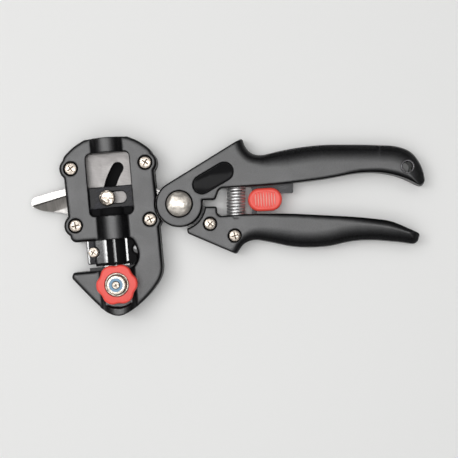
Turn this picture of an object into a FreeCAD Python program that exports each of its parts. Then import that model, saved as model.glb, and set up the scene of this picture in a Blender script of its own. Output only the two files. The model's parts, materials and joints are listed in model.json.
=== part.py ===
import FreeCAD, Part
import math
import os

# An omega grafting tool: a hand-held plier whose lever drives a cutter block down a cast head
# onto a small anvil, and whose lever and side plate end in a pair of pruning blades.
# Frame: millimetres, the pivot axis is the Z axis, +X runs along the handles, +Y is the side of
# the upper handle, and the tool lies on its back on z = 0. The handles are closed.
# The head is drawn in its own frame (u across, v along the plunger's axis), turned by head_tilt.

V = FreeCAD.Vector
ORIGIN = V(0, 0, 0)
UP = V(0, 0, 1)
ACROSS = V(1, 0, 0)

# Motion
opening = 25.6              # degrees that the lower handle turns
head_tilt = 5.0             # degrees between the plunger's axis and Y
axis_offset = 37.2          # from the pivot to the plunger's axis
pin_reach = 39.9            # from the pivot to the drive pin
pin_rest_angle = 9.76       # degrees of the drive pin above the head's u axis

# The stack of layers, from the back
cover_floor = 3.0
lever_gap = 0.3
lever_thickness = 3.0
shear_gap = 0.1
plate_thickness = 3.0
slide_gap = 0.2
carrier_thickness = 2.4
wing_thickness = 1.2
raise_height = 1.5
face_wall = 2.6

# Clearances
fit_gap = 0.05              # round fits: screws in threads, pins and bushes in bores
pocket_gap = 0.15           # a flat piece in its pocket
swing_gap = 0.8             # around the sweep of the lever inside the head
overrun = 1.0               # how far a cut runs past a face
coincidence = 1e-6          # ends closer than this are one point

# Cast head
guide_gap = 0.2
side_wall = 8.8
top_wall = 8.3
cavity_rest = 2.1           # free run above the block when the tool is open
throat_height = 16.5
base_depth = 25.8
head_round_share = 0.0775   # of the base's depth
ear_radius = 6.4
ear_inset = 4.4
upper_ear_drop = 15.4
lower_ear_rise = 9.2
bulge_radius = 9.4
base_bulge_radius = 10.4
bulge_foot = 2.5
bulge_round = 1.5
window_half = 12.0
window_corner = 2.8
window_drop = 3.0
disc_gap = 0.5
plate_inset = 1.0

# Cutter block
block_half = 16.0
block_length = 43.5
wing_setback = 1.2
block_corner = 1.0
slot_from_top = 6.3
slot_slack = 0.55           # each side of the drive bush
slot_end_slack = 0.6
raise_from_top = 12.1
raise_half = 11.4
rib_radius = 6.5
rib_gap = 0.5
rib_foot = 1.0
cutter_screw_reach = 12.4
cutter_screw_drops = (21.8, 35.7)
scallop_gap = 0.7

# Omega blade
blade_sheet = 0.8
omega_radius = 2.9
omega_neck = 1.6
omega_leg = 7.0
omega_sink = 0.1
blade_stand = 1.5
blade_from_top = 13.5

# Anvil and its clamp
anvil_gap = 0.7
anvil_stand = 1.7
anvil_half = 15.0
anvil_height = 5.0
anvil_tongue_half = 8.0
anvil_tongue = 17.0
anvil_groove_gap = 0.5
anvil_groove_depth = 3.0
clamp_drop = 8.2            # from the base's top edge to the clamp bolt
clamp_radius = 3.0
clamp_slot_half = 1.5
knob_seat = 20.5
knob_gap = 0.2
knob_radius = 11.5
knob_valley = 10.2
knob_height = 5.5
knob_lobes = 6
knob_lobe_half = 13.0       # degrees
knob_phase = 0.8            # degrees
knob_round = 1.0
knob_recess = 2.0
washer_radius = 6.2
washer_thickness = 1.2
nut_across = 10.0
nut_height = 4.8
nut_collar_radius = 4.6
nut_collar = 1.2
ring_radius = 3.8
ring_height = 1.4
clamp_stand = 0.8
bolt_head_across = 10.0
bolt_head_height = 4.0
foot_gap = 0.3              # fasteners on the back stay this far above the rest plane

# Screws
housing_screw_radius = 2.0
housing_screw_head = 3.45
housing_screw_head_height = 2.4
housing_screw_sink = 2.2
cutter_screw_radius = 1.5
cutter_screw_head = 2.8
cutter_screw_head_height = 1.4
back_screw_radius = 1.5
back_screw_head = 2.8
back_screw_head_height = 1.8
handle_screw_radius = 2.5
handle_screw_head = 3.3
handle_screw_head_height = 2.6
handle_screw_sink = 2.4
drive_pin_radius = 2.0
drive_bush_radius = 2.7
drive_head = 4.75
drive_head_height = 3.1
cross_width_share = 0.3
cross_reach_share = 0.68
cross_depth_share = 0.5
counterbore_gap = 0.35

# Pivot
disc_radius = 12.9
pivot_radius = 4.0
pivot_head = 7.0
pivot_dome = 3.6
pivot_rim = 0.6
pivot_sink = 1.0
pivot_nut_across = 13.0
pivot_nut_height = 2.9
pivot_nut_gap = 0.15

# Pruning blades
blade_reach = 83.0
bevel_width = 6.8
back_bevel_width = 3.2
edge_land = 0.35
arm_disc_radius = 12.7

# Handles
handle_reach = 136.0
handle_thickness = 16.5
upper_palm_round_share = 0.046   # of the handles' reach
lower_palm_round_share = 0.0294
palm_wall_share = 0.9       # of the front wall, the most that a palm round takes
inner_round_share = 0.0088
lower_arc_gap = 1.4
rear_clear = 2.6            # between the lever's disc and the rear half of the upper handle
rear_start = 8.0
tang_half = 5.5
tang_angle = 34.0           # degrees
tang_length = 36.0
tang_screw_places = (24.0, 34.0)
tang_screw_radius = 2.0
tang_screw_head = 3.6
tang_screw_head_height = 2.2
tang_screw_bite = 4.0
lever_tang_half = 6.0
badge_radius = 5.2
badge_depth = 0.8
badge_edge = 0.5
badge_thickness = 0.6
eyelet_radius = 2.75
eyelet_wall = 0.5
eyelet_flange = 3.9
eyelet_flange_height = 0.5

# Return spring
spring_radius = 4.75
spring_wire = 0.6           # radius of the wire
spring_turns = 10
spring_seat = 1.5
spring_seat_gap = 0.45
spigot_radius = 3.5
spigot_height = 3.6

# Latch
latch_travel = 4.0
latch_thickness = 2.0
latch_radius = 0.8          # its outer corners
latch_top_share = 0.115
latch_slot_room = 0.6
latch_pin_radius = 1.25
latch_pin_inset = 2.0
hook_width = 3.0
hook_reach = 2.8
hook_height = 1.4
hook_gap = 0.4
catch_radius = 1.5
catch_run = 1.5             # from the hook's tip to the catch pin when the latch is released
catch_inset = 2.0
button_length = 18.8
button_width = 12.8
button_corner = 5.6
button_height = 5.6
button_round = 1.4
button_tilt = 3.0           # degrees
button_from_spring = 1.298
backing_height = 4.4
backing_inset = 1.2
rivet_radius = 1.2
rivet_spread = 3.6
rivet_bury = 2.6

# Outlines. A corner is (x, y) for the widest arc that fits, or (x, y, radius). The handles' are
# shares of their reach, the hub's and the neck's of the disc's radius, and the blades' of theirs.
upper_handle_shares = (
    (0.256, 0.270, 0), (0.266, 0.236), (0.292, 0.204), (0.335, 0.198), (0.425, 0.221),
    (0.560, 0.242), (0.740, 0.243), (0.885, 0.238), (0.948, 0.215), (0.990, 0.155),
    (1.003, 0.092), (0.987, 0.070, 0), (0.915, 0.108), (0.830, 0.129), (0.730, 0.129),
    (0.600, 0.102), (0.400, 0.078), (0.163, 0.063, 0.020), (0.146, 0.017, 0.008), (0.085, 0.015, 0),
)
lower_handle_shares = (
    (0.153, -0.011, 0.006), (0.154, -0.050, 0.018), (0.250, -0.043),
    (0.410, -0.037), (0.571, -0.045), (0.740, -0.054), (0.860, -0.068), (0.925, -0.096),
    (0.980, -0.121, 0), (0.968, -0.166, 0.040), (0.915, -0.157), (0.790, -0.146),
    (0.700, -0.150), (0.600, -0.176), (0.470, -0.177), (0.380, -0.157), (0.305, -0.144),
    (0.262, -0.160), (0.234, -0.205, 0),
)
lower_hub_shares = ((0.357, -1.264, 0.127), (0.316, -0.843, 0), (0.633, -0.116, 0))
upper_end_share = 0.990
upper_palm_share = 0.134
lower_palm_share = -0.121
lever_edge_shares = (
    (-0.434, -0.090), (-0.640, -0.056, 0.03), (-0.730, 0.047, 0.01), (-0.988, -0.024, 0),
    (-0.999, -0.006, 0), (-0.996, 0.030, 0.008), (-0.976, 0.046, 0.010), (-0.753, 0.113),
)
neck_top_shares = (-1.05, 0.71, 0)
neck_low_shares = (-0.92, -0.86, 0)
jaw_shares = (
    (-0.550, 0.125, 0), (-0.976, -0.006, 0), (-0.990, -0.012, 0), (-0.970, -0.027, 0.02),
    (-0.915, -0.048), (-0.800, -0.057), (-0.733, -0.070), (-0.550, -0.078, 0),
)
shoulder_shares = ((1.00, 0.800), (0.96, 0.850), (0.73, 0.940), (0.47, 0.998, 0.12))
base_shares = (
    (1.02, 0.10), (0.94, 0.30), (0.75, 0.53), (0.50, 0.75), (0.25, 0.91), (-0.02, 1.01),
    (-0.35, 0.87), (-0.55, 0.66), (-0.79, 0.38), (-1.02, 0.10, 0.09),
)
base_beak_share = 0.96
notch_shares = ((0.34, 0.00), (0.47, 0.25), (0.49, 0.50), (0.44, 0.78), (0.36, 1.00))
lower_corner_shares = (0.96, 0.14)
screw_place_shares = ((0.126, -0.081), (0.226, -0.129))
badge_place_shares = ((0.093, 0.078), (0.182, 0.131))
eyelet_place_shares = (0.925, 0.151)
spring_x_share = 0.231
spring_y_shares = (-0.044, 0.067)
latch_x_shares = (0.2955, 0.4645)
latch_bar_share = 0.045
latch_body_share = 0.368
latch_foot_share = -0.021
button_y_share = 0.018
latch_pin_shares = ((0.338, 0.097), (0.440, 0.101))
catch_y_share = -0.066
back_screw_shares = ((0.24, 0.925), (0.84, -0.16), (-0.58, 0.27))

# Derived levels
lever_z = cover_floor + lever_gap
lever_top = lever_z + lever_thickness
plate_z = lever_top + shear_gap
plate_top = plate_z + plate_thickness
carrier_z = plate_top + slide_gap
carrier_top = carrier_z + carrier_thickness
wing_top = carrier_top + wing_thickness
raise_top = wing_top + raise_height
pocket_top = raise_top + slide_gap
face_z = pocket_top + face_wall
handle_mid = handle_thickness / 2
inner_round = handle_reach * inner_round_share
head_round = base_depth * head_round_share

# Derived places in the head
pin_open_angle = pin_rest_angle + opening
pin_u = axis_offset - pin_reach * math.cos(math.radians(pin_rest_angle))
pin_open_u = axis_offset - pin_reach * math.cos(math.radians(pin_open_angle))
pin_v = pin_reach * math.sin(math.radians(pin_rest_angle))
travel = pin_reach * math.sin(math.radians(pin_open_angle)) - pin_v
block_top = pin_v + slot_from_top
block_bottom = block_top - block_length
head_half = block_half + guide_gap + side_wall
cavity_top = block_top + travel + cavity_rest
housing_top = cavity_top + top_wall
anvil_top = block_bottom - anvil_gap
base_top = anvil_top - anvil_stand
throat_top = base_top + throat_height
upper_height = housing_top - throat_top
ear_u = head_half - ear_inset
ears = (
    (-ear_u, housing_top - upper_ear_drop), (ear_u, housing_top - upper_ear_drop),
    (-ear_u, throat_top + lower_ear_rise), (ear_u, throat_top + lower_ear_rise),
)
rib_z = wing_top
rib_cavity = rib_radius + rib_gap
clamp_v = base_top - clamp_drop
omega_rise = math.sqrt(omega_radius ** 2 - omega_neck ** 2)
omega_z = carrier_top + blade_sheet + omega_rise - omega_sink

# Derived places in the handles
spring_x = handle_reach * spring_x_share
spring_low = handle_reach * spring_y_shares[0]
spring_high = handle_reach * spring_y_shares[1]
button_x = spring_x + spring_radius + spring_wire + button_from_spring + button_length / 2
button_y = handle_reach * button_y_share
latch_left = handle_reach * latch_x_shares[0]
latch_right = handle_reach * latch_x_shares[1]
hook_tip = latch_left + hook_width + hook_reach
catch_x = hook_tip + catch_run + catch_radius
catch_y = handle_reach * catch_y_share
hook_top = catch_y - catch_radius - hook_gap
hook_bottom = hook_top - hook_height
latch_low = handle_mid - latch_thickness / 2
latch_high = handle_mid + latch_thickness / 2


def rounded(corners):
    """Closed wire through the corners, each with an arc tangent to both of its sides."""
    points = [V(corner[0], corner[1], 0) for corner in corners]
    arcs = []
    for i, point in enumerate(points):
        back = points[i - 1] - point
        ahead = points[(i + 1) % len(points)] - point
        turn = math.pi - back.getAngle(ahead)
        reach = min(back.Length, ahead.Length) / 2
        if len(corners[i]) > 2:
            reach = min(reach, corners[i][2] * math.tan(turn / 2))
        back.normalize()
        ahead.normalize()
        if reach < coincidence or turn < coincidence:
            arcs.append((point, None, point))
            continue
        inward = (back + ahead).normalize()
        sagitta = reach / math.tan(turn / 2) * (1 / math.cos(turn / 2) - 1)
        arcs.append((point + back * reach, point + inward * sagitta, point + ahead * reach))
    edges = []
    for i, (start, middle, end) in enumerate(arcs):
        before = arcs[i - 1][2]
        if (start - before).Length > coincidence:
            edges.append(Part.LineSegment(before, start).toShape())
        if middle is not None:
            edges.append(Part.Arc(start, middle, end).toShape())
    return Part.Wire(edges)


def scaled(shares, width, height, left=0, bottom=0):
    """Corners in lengths, from corners in shares of a width and a height."""
    corners = []
    for share in shares:
        radii = [radius * width for radius in share[2:]]
        corners.append((left + share[0] * width, bottom + share[1] * height, *radii))
    return corners


def slab(corners, low, high):
    face = Part.Face(rounded(corners))
    face.translate(V(0, 0, low))
    return face.extrude(V(0, 0, high - low))


def rod(x, y, radius, low, high):
    return Part.makeCylinder(radius, high - low, V(x, y, low))


def bar(x0, x1, y0, y1, low, high):
    return Part.makeBox(x1 - x0, y1 - y0, high - low, V(x0, y0, low))


def lying_rod(x, z, radius, y0, y1):
    return Part.makeCylinder(radius, y1 - y0, V(x, y0, z), V(0, 1, 0))


def tube(x, y, outer, inner, low, high):
    return rod(x, y, outer, low, high).cut(rod(x, y, inner, low - overrun, high + overrun))


def hexagon(x, y, across, low, high):
    reach = across / math.sqrt(3)
    angles = [math.radians(60 * step) for step in range(6)]
    return slab([(x + reach * math.cos(a), y + reach * math.sin(a), 0) for a in angles], low, high)


def oblong(x0, y0, x1, y1, radius, low, high):
    """A bar with round ends between two places."""
    along = V(x1 - x0, y1 - y0, 0)
    body = Part.makeBox(along.Length, 2 * radius, high - low, V(0, -radius, low))
    body.rotate(ORIGIN, UP, math.degrees(math.atan2(along.y, along.x)))
    body.translate(V(x0, y0, 0))
    ends = [rod(x0, y0, radius, low, high), rod(x1, y1, radius, low, high)]
    return body.fuse(ends).removeSplitter()


def wedge(start, end, profile):
    """A long cut along an edge, from (distance into the piece, level) points across it."""
    along = (end - start).normalize()
    inward = V(-along.y, along.x, 0)
    points = [start + inward * depth + V(0, 0, level) for depth, level in profile]
    face = Part.Face(Part.makePolygon(points + points[:1]))
    return face.extrude(end - start)


def ridge(radius, centre, flat, foot, v0, v1):
    """A half round rib along the plunger's axis with concave feet on a flat face."""
    foot_u = math.sqrt((radius + foot) ** 2 - (flat + foot - centre) ** 2)
    hub = V(0, v0, centre)
    edges = []
    joins = []
    for side in (1, -1):
        foot_hub = V(side * foot_u, v0, flat + foot)
        inward = (hub - foot_hub).normalize()
        start = foot_hub - UP * foot
        join = foot_hub + inward * foot
        middle = foot_hub + (inward - UP).normalize() * foot
        edges.append(Part.Arc(start, middle, join).toShape())
        joins.append((start, join))
    edges.insert(1, Part.Arc(joins[0][1], hub + UP * radius, joins[1][1]).toShape())
    low = [joins[1][0], joins[1][0] - UP * foot, joins[0][0] - UP * foot, joins[0][0]]
    edges += Part.makePolygon(low).Edges
    face = Part.Face(Part.Wire(Part.__sortEdges__(edges)))
    return face.extrude(V(0, v1 - v0, 0))


def on_head(shape):
    """Moves a shape from the head's frame to the tool's."""
    shape = shape.copy()
    shape.translate(V(-axis_offset, 0, 0))
    shape.rotate(ORIGIN, UP, head_tilt)
    return shape


def off_head(shape):
    """Moves a shape from the tool's frame to the head's."""
    shape = shape.copy()
    shape.rotate(ORIGIN, UP, -head_tilt)
    shape.translate(V(axis_offset, 0, 0))
    return shape


def rim(shape, level, keep):
    """Edges that lie at a level and whose middle passes the test."""
    found = []
    for edge in shape.Edges:
        box = edge.BoundBox
        middle = edge.valueAt((edge.FirstParameter + edge.LastParameter) / 2)
        if abs(box.ZMin - level) < fit_gap and abs(box.ZMax - level) < fit_gap and keep(middle):
            found.append(edge)
    return found


def everywhere(middle):
    return True


def cross_screw(x, y, seat, size, shank_length, down=False):
    """A pan head screw with a cross recess, its head standing on the seat, or hanging from it."""
    head_radius, head_height, shank_radius = size
    head = rod(0, 0, head_radius, 0, head_height)
    head = head.makeFillet(head_height / 2, rim(head, head_height, everywhere))
    half = head_radius * cross_width_share / 2
    reach = head_radius * cross_reach_share
    low = head_height * cross_depth_share
    cross = bar(-reach, reach, -half, half, low, head_height + overrun)
    cross = cross.fuse(bar(-half, half, -reach, reach, low, head_height + overrun))
    screw = head.cut(cross).fuse(rod(0, 0, shank_radius, -shank_length, 0)).removeSplitter()
    if down:
        screw.rotate(ORIGIN, ACROSS, 180)
    screw.translate(V(x, y, seat))
    return screw


def save(name, shape):
    shape.exportStep(os.path.join("parts", name + ".step"))


def place(share):
    return handle_reach * share[0], handle_reach * share[1]


def tangent_place(corner, radius, side):
    """Where a line from a corner touches the round about the pivot, on one side of it."""
    distance = math.hypot(corner[0], corner[1])
    angle = math.atan2(corner[1], corner[0]) + side * math.acos(radius / distance)
    return radius * math.cos(angle), radius * math.sin(angle), 0


def head_corners(inset):
    """The head's outline: an upper housing and a base joined by the column on the right."""
    half = head_half - inset
    top = upper_height - inset
    shoulder = scaled(shoulder_shares, half, top, 0, throat_top)
    corners = shoulder + [(-corner[0], *corner[1:]) for corner in reversed(shoulder)]
    corners += [(-half * lower_corner_shares[0], throat_top + inset, half * lower_corner_shares[1])]
    corners += reversed(scaled(notch_shares, head_half, throat_height + 2 * inset, inset, base_top - inset))
    corners += [(-half * base_beak_share, base_top - inset, 0)]
    corners += reversed(scaled(base_shares, half, inset - base_depth, 0, base_top))
    return corners


def head_slab(inset, low, high):
    body = slab(head_corners(inset), low, high)
    return body.fuse([rod(u, v, ear_radius - inset, low, high) for u, v in ears]).removeSplitter()


def block_slab(low, high):
    """The cutter block's own outline, with the slot that the drive bush runs in."""
    bottom = block_bottom + wing_setback
    top_corners = [(-block_half, block_top), (block_half, block_top)]
    low_corners = [(block_half, bottom), (-block_half, bottom)]
    body = slab([(*corner, block_corner) for corner in top_corners + low_corners], low, high)
    left = pin_u - slot_end_slack
    right = pin_open_u + slot_end_slack
    slot_radius = drive_bush_radius + slot_slack
    return body.cut(oblong(left, pin_v, right, pin_v, slot_radius, low - overrun, high + overrun))


def cutter_screw_places():
    rows = [block_top - drop for drop in cutter_screw_drops]
    return [(side * cutter_screw_reach, row) for row in rows for side in (-1, 1)]


def back_screw_places():
    return [
        (head_half * back_screw_shares[0][0], throat_top + upper_height * back_screw_shares[0][1]),
        (head_half * back_screw_shares[1][0], base_top - base_depth * back_screw_shares[1][1]),
        (head_half * back_screw_shares[2][0], base_top - base_depth * back_screw_shares[2][1]),
    ]


def omega(grow, v0, v1):
    """The omega's section along the plunger's axis, thicker by grow on each face."""
    ring = lying_rod(0, omega_z, omega_radius + grow, v0, v1)
    ring = ring.cut(lying_rod(0, omega_z, omega_radius - blade_sheet - grow, v0 - overrun, v1 + overrun))
    inner = omega_neck - blade_sheet - grow
    ring = ring.cut(bar(-inner, inner, v0 - overrun, v1 + overrun, carrier_top - grow, omega_z))
    pieces = []
    for side in (-1, 1):
        legs = sorted((side * inner, side * (omega_leg + grow)))
        neck = sorted((side * inner, side * (omega_neck + grow)))
        pieces.append(bar(*legs, v0, v1, carrier_top - grow, carrier_top + blade_sheet + grow))
        pieces.append(bar(*neck, v0, v1, carrier_top, omega_z - omega_rise))
    return ring.fuse(pieces).removeSplitter()


def front_housing():
    body = head_slab(0, plate_top, face_z)

    notch_u = head_half * max(share[0] for share in notch_shares) + overrun

    def outer(middle):
        return middle.x > notch_u or not base_top - overrun < middle.y < throat_top + overrun

    body = body.makeFillet(head_round, rim(body, face_z, outer))
    crest = rib_z + base_bulge_radius + overrun
    outline = head_slab(0, plate_top, crest)
    upper = ridge(bulge_radius, rib_z, face_z, bulge_foot, throat_top, housing_top)
    lower = ridge(base_bulge_radius, rib_z, face_z, bulge_foot, base_top - base_depth - overrun, base_top)
    body = body.fuse([upper.common(outline), lower.common(outline)]).removeSplitter()
    guide = block_half + guide_gap
    cuts = [bar(-guide, guide, base_top, cavity_top, plate_top - overrun, pocket_top)]
    cuts.append(lying_rod(0, rib_z, rib_cavity, throat_top - overrun, cavity_top))
    window = [(-window_half, -window_drop), (window_half, -window_drop)]
    window += [(window_half, cavity_top), (-window_half, cavity_top)]
    cuts.append(slab([(*corner, window_corner) for corner in window], rib_z, crest))
    cuts.append(anvil_shape(pocket_gap, plate_top - overrun, pocket_top))
    for u, v in ears:
        cuts.append(rod(u, v, housing_screw_radius + fit_gap, plate_top - overrun, crest))
        cuts.append(rod(u, v, housing_screw_head + counterbore_gap, face_z - housing_screw_sink, crest))
    cuts.append(rod(0, clamp_v, clamp_radius + fit_gap, plate_top - overrun, crest))
    cuts.append(rod(0, clamp_v, knob_radius + bulge_round, knob_seat, crest))
    cuts.append(rod(axis_offset, 0, disc_radius + disc_gap, plate_top - overrun, crest))
    return on_head(body.cut(cuts))


def anvil_shape(grow, low, high):
    top = anvil_top + grow
    body = bar(-anvil_half - grow, anvil_half + grow, anvil_top - anvil_height - grow, top, low, high)
    half = anvil_tongue_half + grow
    return body.fuse(bar(-half, half, anvil_top - anvil_tongue - grow, top, low, high)).removeSplitter()


def anvil():
    body = anvil_shape(0, plate_top, pocket_top - slide_gap)
    low = clamp_v - clamp_slot_half
    high = clamp_v + clamp_slot_half
    radius = clamp_radius + pocket_gap
    body = body.cut(oblong(0, low, 0, high, radius, plate_top - overrun, pocket_top + overrun))
    return on_head(body.cut(omega(anvil_groove_gap, anvil_top - anvil_groove_depth, anvil_top + overrun)))


def lever_corners():
    return scaled(lever_edge_shares, blade_reach, blade_reach)


def lever_sweep():
    """The space that the lever's arm passes through between closed and open, with its gap."""
    corners = lever_corners()
    spine = V(corners[-1][0], corners[-1][1], 0)
    touch = V(*tangent_place(corners[-1], arm_disc_radius, -1))
    away = V(touch.x, touch.y, 0).normalize() * swing_gap
    opened = FreeCAD.Rotation(UP, -opening)
    high = [opened.multVec(point + away) for point in (spine, touch)]
    low = V(corners[0][0], corners[0][1] - swing_gap, 0)
    far = -blade_reach - overrun
    points = [(0, -arm_disc_radius - swing_gap), (low.x, low.y)]
    points += [(far, low.y), (far, blade_reach), (high[0].x, blade_reach)]
    points += [(high[0].x, high[0].y), (high[1].x, high[1].y)]
    body = slab([(*point, 0) for point in points], cover_floor, plate_z)
    return body.fuse(rod(0, 0, disc_radius + disc_gap, cover_floor, plate_z))


def back_cover():
    body = head_slab(0, 0, plate_z)
    body = body.makeFillet(inner_round, rim(body, 0, everywhere))
    cuts = [off_head(lever_sweep()), rod(axis_offset, 0, disc_radius + disc_gap, -overrun, plate_z)]
    cuts.append(rod(0, clamp_v, clamp_radius + fit_gap, -overrun, plate_z + overrun))
    head_top = foot_gap + bolt_head_height
    cuts.append(hexagon(0, clamp_v, bolt_head_across + 2 * pocket_gap, -overrun, head_top))
    for u, v in back_screw_places():
        cuts.append(rod(u, v, back_screw_radius + fit_gap, -overrun, plate_z + overrun))
        seat = foot_gap + back_screw_head_height
        cuts.append(rod(u, v, back_screw_head + counterbore_gap, -overrun, seat))
    return on_head(body.cut(cuts))


def pin_place(angle):
    """The drive pin's place in the tool's frame, for its angle above the head's u axis."""
    turned = math.radians(180 + head_tilt - angle)
    return pin_reach * math.cos(turned), pin_reach * math.sin(turned)


def tang_place(reach):
    return reach * math.cos(math.radians(tang_angle)), reach * math.sin(math.radians(tang_angle))


def side_plate():
    body = on_head(head_slab(plate_inset, plate_z, plate_top))
    jaw_corners = scaled(jaw_shares, blade_reach, blade_reach)
    jaw = slab(jaw_corners, plate_z, plate_top)
    start = V(jaw_corners[1][0], jaw_corners[1][1], 0)
    end = V(jaw_corners[0][0], jaw_corners[0][1], 0)
    reach = (end - start).normalize()
    edge_z = plate_z + edge_land
    fall = (plate_top - edge_z) / bevel_width * overrun
    profile = [(overrun, edge_z - fall), (-bevel_width, plate_top)]
    profile += [(-bevel_width, plate_top + overrun), (overrun, plate_top + overrun)]
    jaw = jaw.cut(wedge(start - reach * overrun, end, profile))
    disc = rod(0, 0, disc_radius, plate_z, plate_top)
    tang = oblong(0, 0, *tang_place(tang_length), tang_half, plate_z, plate_top)
    body = body.fuse([jaw, disc, tang]).removeSplitter()
    half = drive_bush_radius + slot_slack
    low = plate_z - overrun
    high = plate_top + overrun
    slot = Part.makeCylinder(pin_reach + half, high - low, V(0, 0, low), UP, opening)
    slot = slot.cut(Part.makeCylinder(pin_reach - half, high - low, V(0, 0, low), UP, opening))
    slot.rotate(ORIGIN, UP, 180 + head_tilt - pin_open_angle)
    cuts = [slot, rod(0, 0, pivot_radius + fit_gap, low, high)]
    cuts += [rod(*pin_place(angle), half, low, high) for angle in (pin_rest_angle, pin_open_angle)]
    cuts += [on_head(rod(u, v, housing_screw_radius + fit_gap, low, high)) for u, v in ears]
    cuts += [on_head(rod(u, v, back_screw_radius + fit_gap, low, high)) for u, v in back_screw_places()]
    cuts += [rod(*tang_place(reach), tang_screw_radius + fit_gap, low, high) for reach in tang_screw_places]
    cuts.append(on_head(rod(0, clamp_v, clamp_radius + fit_gap, low, high)))
    return body.cut(cuts)


def lever():
    corners = lever_corners()
    neck = scaled((neck_top_shares, neck_low_shares), arm_disc_radius, arm_disc_radius)
    arm = slab(corners + [neck[0], (0, 0, 0), neck[1]], lever_z, lever_top)
    heel = V(corners[2][0], corners[2][1], 0)
    tip = V(corners[3][0], corners[3][1], 0)
    along = (heel - tip).normalize()
    edge_z = lever_top - edge_land
    rise = (edge_z - lever_z) / back_bevel_width * overrun
    profile = [(-overrun, edge_z + rise), (back_bevel_width, lever_z)]
    profile += [(back_bevel_width, lever_z - overrun), (-overrun, lever_z - overrun)]
    arm = arm.cut(wedge(tip - along * overrun, heel, profile))
    disc = rod(0, 0, arm_disc_radius, lever_z, lever_top)
    tang = oblong(0, 0, *place(screw_place_shares[1]), lever_tang_half, lever_z, lever_top)
    body = arm.fuse([disc, tang]).removeSplitter()
    low = lever_z - overrun
    high = lever_top + overrun
    cuts = [rod(0, 0, pivot_radius + fit_gap, low, high)]
    cuts.append(rod(*pin_place(pin_rest_angle), drive_pin_radius + fit_gap, low, high))
    cuts += [rod(*place(share), handle_screw_radius + fit_gap, low, high) for share in screw_place_shares]
    return body.cut(cuts)


def cutter_carrier():
    body = block_slab(carrier_z, carrier_top)
    core_top = block_top - blade_from_top
    core_bottom = block_bottom + wing_setback
    core = lying_rod(0, omega_z, omega_radius - blade_sheet - fit_gap, core_bottom, core_top)
    web = omega_neck - blade_sheet - fit_gap
    core = core.fuse(bar(-web, web, core_bottom, core_top, carrier_top, omega_z))
    body = body.fuse(core).removeSplitter()
    radius = cutter_screw_radius + fit_gap
    low = carrier_z - overrun
    high = carrier_top + overrun
    return on_head(body.cut([rod(u, v, radius, low, high) for u, v in cutter_screw_places()]))


def cutter_clamp():
    wings = block_slab(carrier_top, wing_top)
    raise_end = block_top - raise_from_top
    middle = bar(-raise_half, raise_half, block_bottom, raise_end, carrier_top, raise_top)
    rib = ridge(rib_radius, rib_z, raise_top, rib_foot, block_bottom, raise_end)
    scallops = []
    holes = []
    for u, v in cutter_screw_places():
        scallops.append(rod(u, v, cutter_screw_head + scallop_gap, wing_top, raise_top + overrun))
        holes.append(rod(u, v, cutter_screw_radius + fit_gap, carrier_top - overrun, wing_top + overrun))
    body = wings.fuse([middle, rib]).cut(scallops + holes)
    v0 = block_bottom - overrun
    v1 = block_top - blade_from_top
    body = body.cut(lying_rod(0, omega_z, omega_radius + fit_gap, v0, v1))
    neck = omega_neck + fit_gap
    leg = omega_leg + fit_gap
    body = body.cut(bar(-neck, neck, v0, v1, carrier_top - overrun, omega_z))
    body = body.cut(bar(-leg, leg, v0, v1, carrier_top - overrun, carrier_top + blade_sheet + fit_gap))
    return on_head(body.removeSplitter())


def omega_blade():
    return on_head(omega(0, block_bottom - blade_stand, block_top - blade_from_top))


def cutter_screws():
    size = (cutter_screw_head, cutter_screw_head_height, cutter_screw_radius)
    length = wing_top - carrier_z
    screws = [cross_screw(u, v, wing_top, size, length) for u, v in cutter_screw_places()]
    return on_head(Part.makeCompound(screws))


def housing_screws():
    size = (housing_screw_head, housing_screw_head_height, housing_screw_radius)
    seat = face_z - housing_screw_sink
    return on_head(Part.makeCompound([cross_screw(u, v, seat, size, seat - plate_z) for u, v in ears]))


def back_screws():
    size = (back_screw_head, back_screw_head_height, back_screw_radius)
    seat = foot_gap + back_screw_head_height
    length = plate_top - seat
    screws = [cross_screw(u, v, seat, size, length, down=True) for u, v in back_screw_places()]
    return on_head(Part.makeCompound(screws))


knob_z = knob_seat + knob_gap
washer_z = knob_z + knob_height - knob_recess
nut_z = washer_z + washer_thickness
collar_z = nut_z + nut_height
collar_top = collar_z + nut_collar


def clamp_bolt():
    head = hexagon(0, clamp_v, bolt_head_across, foot_gap, foot_gap + bolt_head_height)
    shank = rod(0, clamp_v, clamp_radius, foot_gap, collar_top + clamp_stand)
    return on_head(head.fuse(shank).removeSplitter())


def clamp_knob():
    corners = []
    step = 360 / knob_lobes
    for lobe in range(knob_lobes):
        middle = knob_phase + lobe * step
        for angle, radius in (
            (middle - knob_lobe_half, knob_radius),
            (middle + knob_lobe_half, knob_radius),
            (middle + step / 2, knob_valley),
        ):
            turned = math.radians(angle)
            corners.append((radius * math.cos(turned), clamp_v + radius * math.sin(turned)))
    top = knob_z + knob_height
    body = slab(corners, knob_z, top)
    body = body.makeFillet(knob_round, rim(body, top, everywhere) + rim(body, knob_z, everywhere))
    recess = rod(0, clamp_v, washer_radius + counterbore_gap, washer_z, top + overrun)
    bore = rod(0, clamp_v, clamp_radius + fit_gap, knob_z - overrun, top)
    return on_head(body.cut([recess, bore]))


def knob_washer():
    return on_head(tube(0, clamp_v, washer_radius, clamp_radius + fit_gap, washer_z, nut_z))


def lock_nut():
    body = hexagon(0, clamp_v, nut_across, nut_z, collar_z)
    body = body.fuse(rod(0, clamp_v, nut_collar_radius, nut_z, collar_top)).removeSplitter()
    cuts = [rod(0, clamp_v, clamp_radius + fit_gap, nut_z - overrun, collar_top + overrun)]
    cuts.append(rod(0, clamp_v, ring_radius, collar_top - ring_height, collar_top + overrun))
    return on_head(body.cut(cuts))


def nut_ring():
    low = collar_top - ring_height
    return on_head(tube(0, clamp_v, ring_radius, clamp_radius + fit_gap, low, collar_top))


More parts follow.
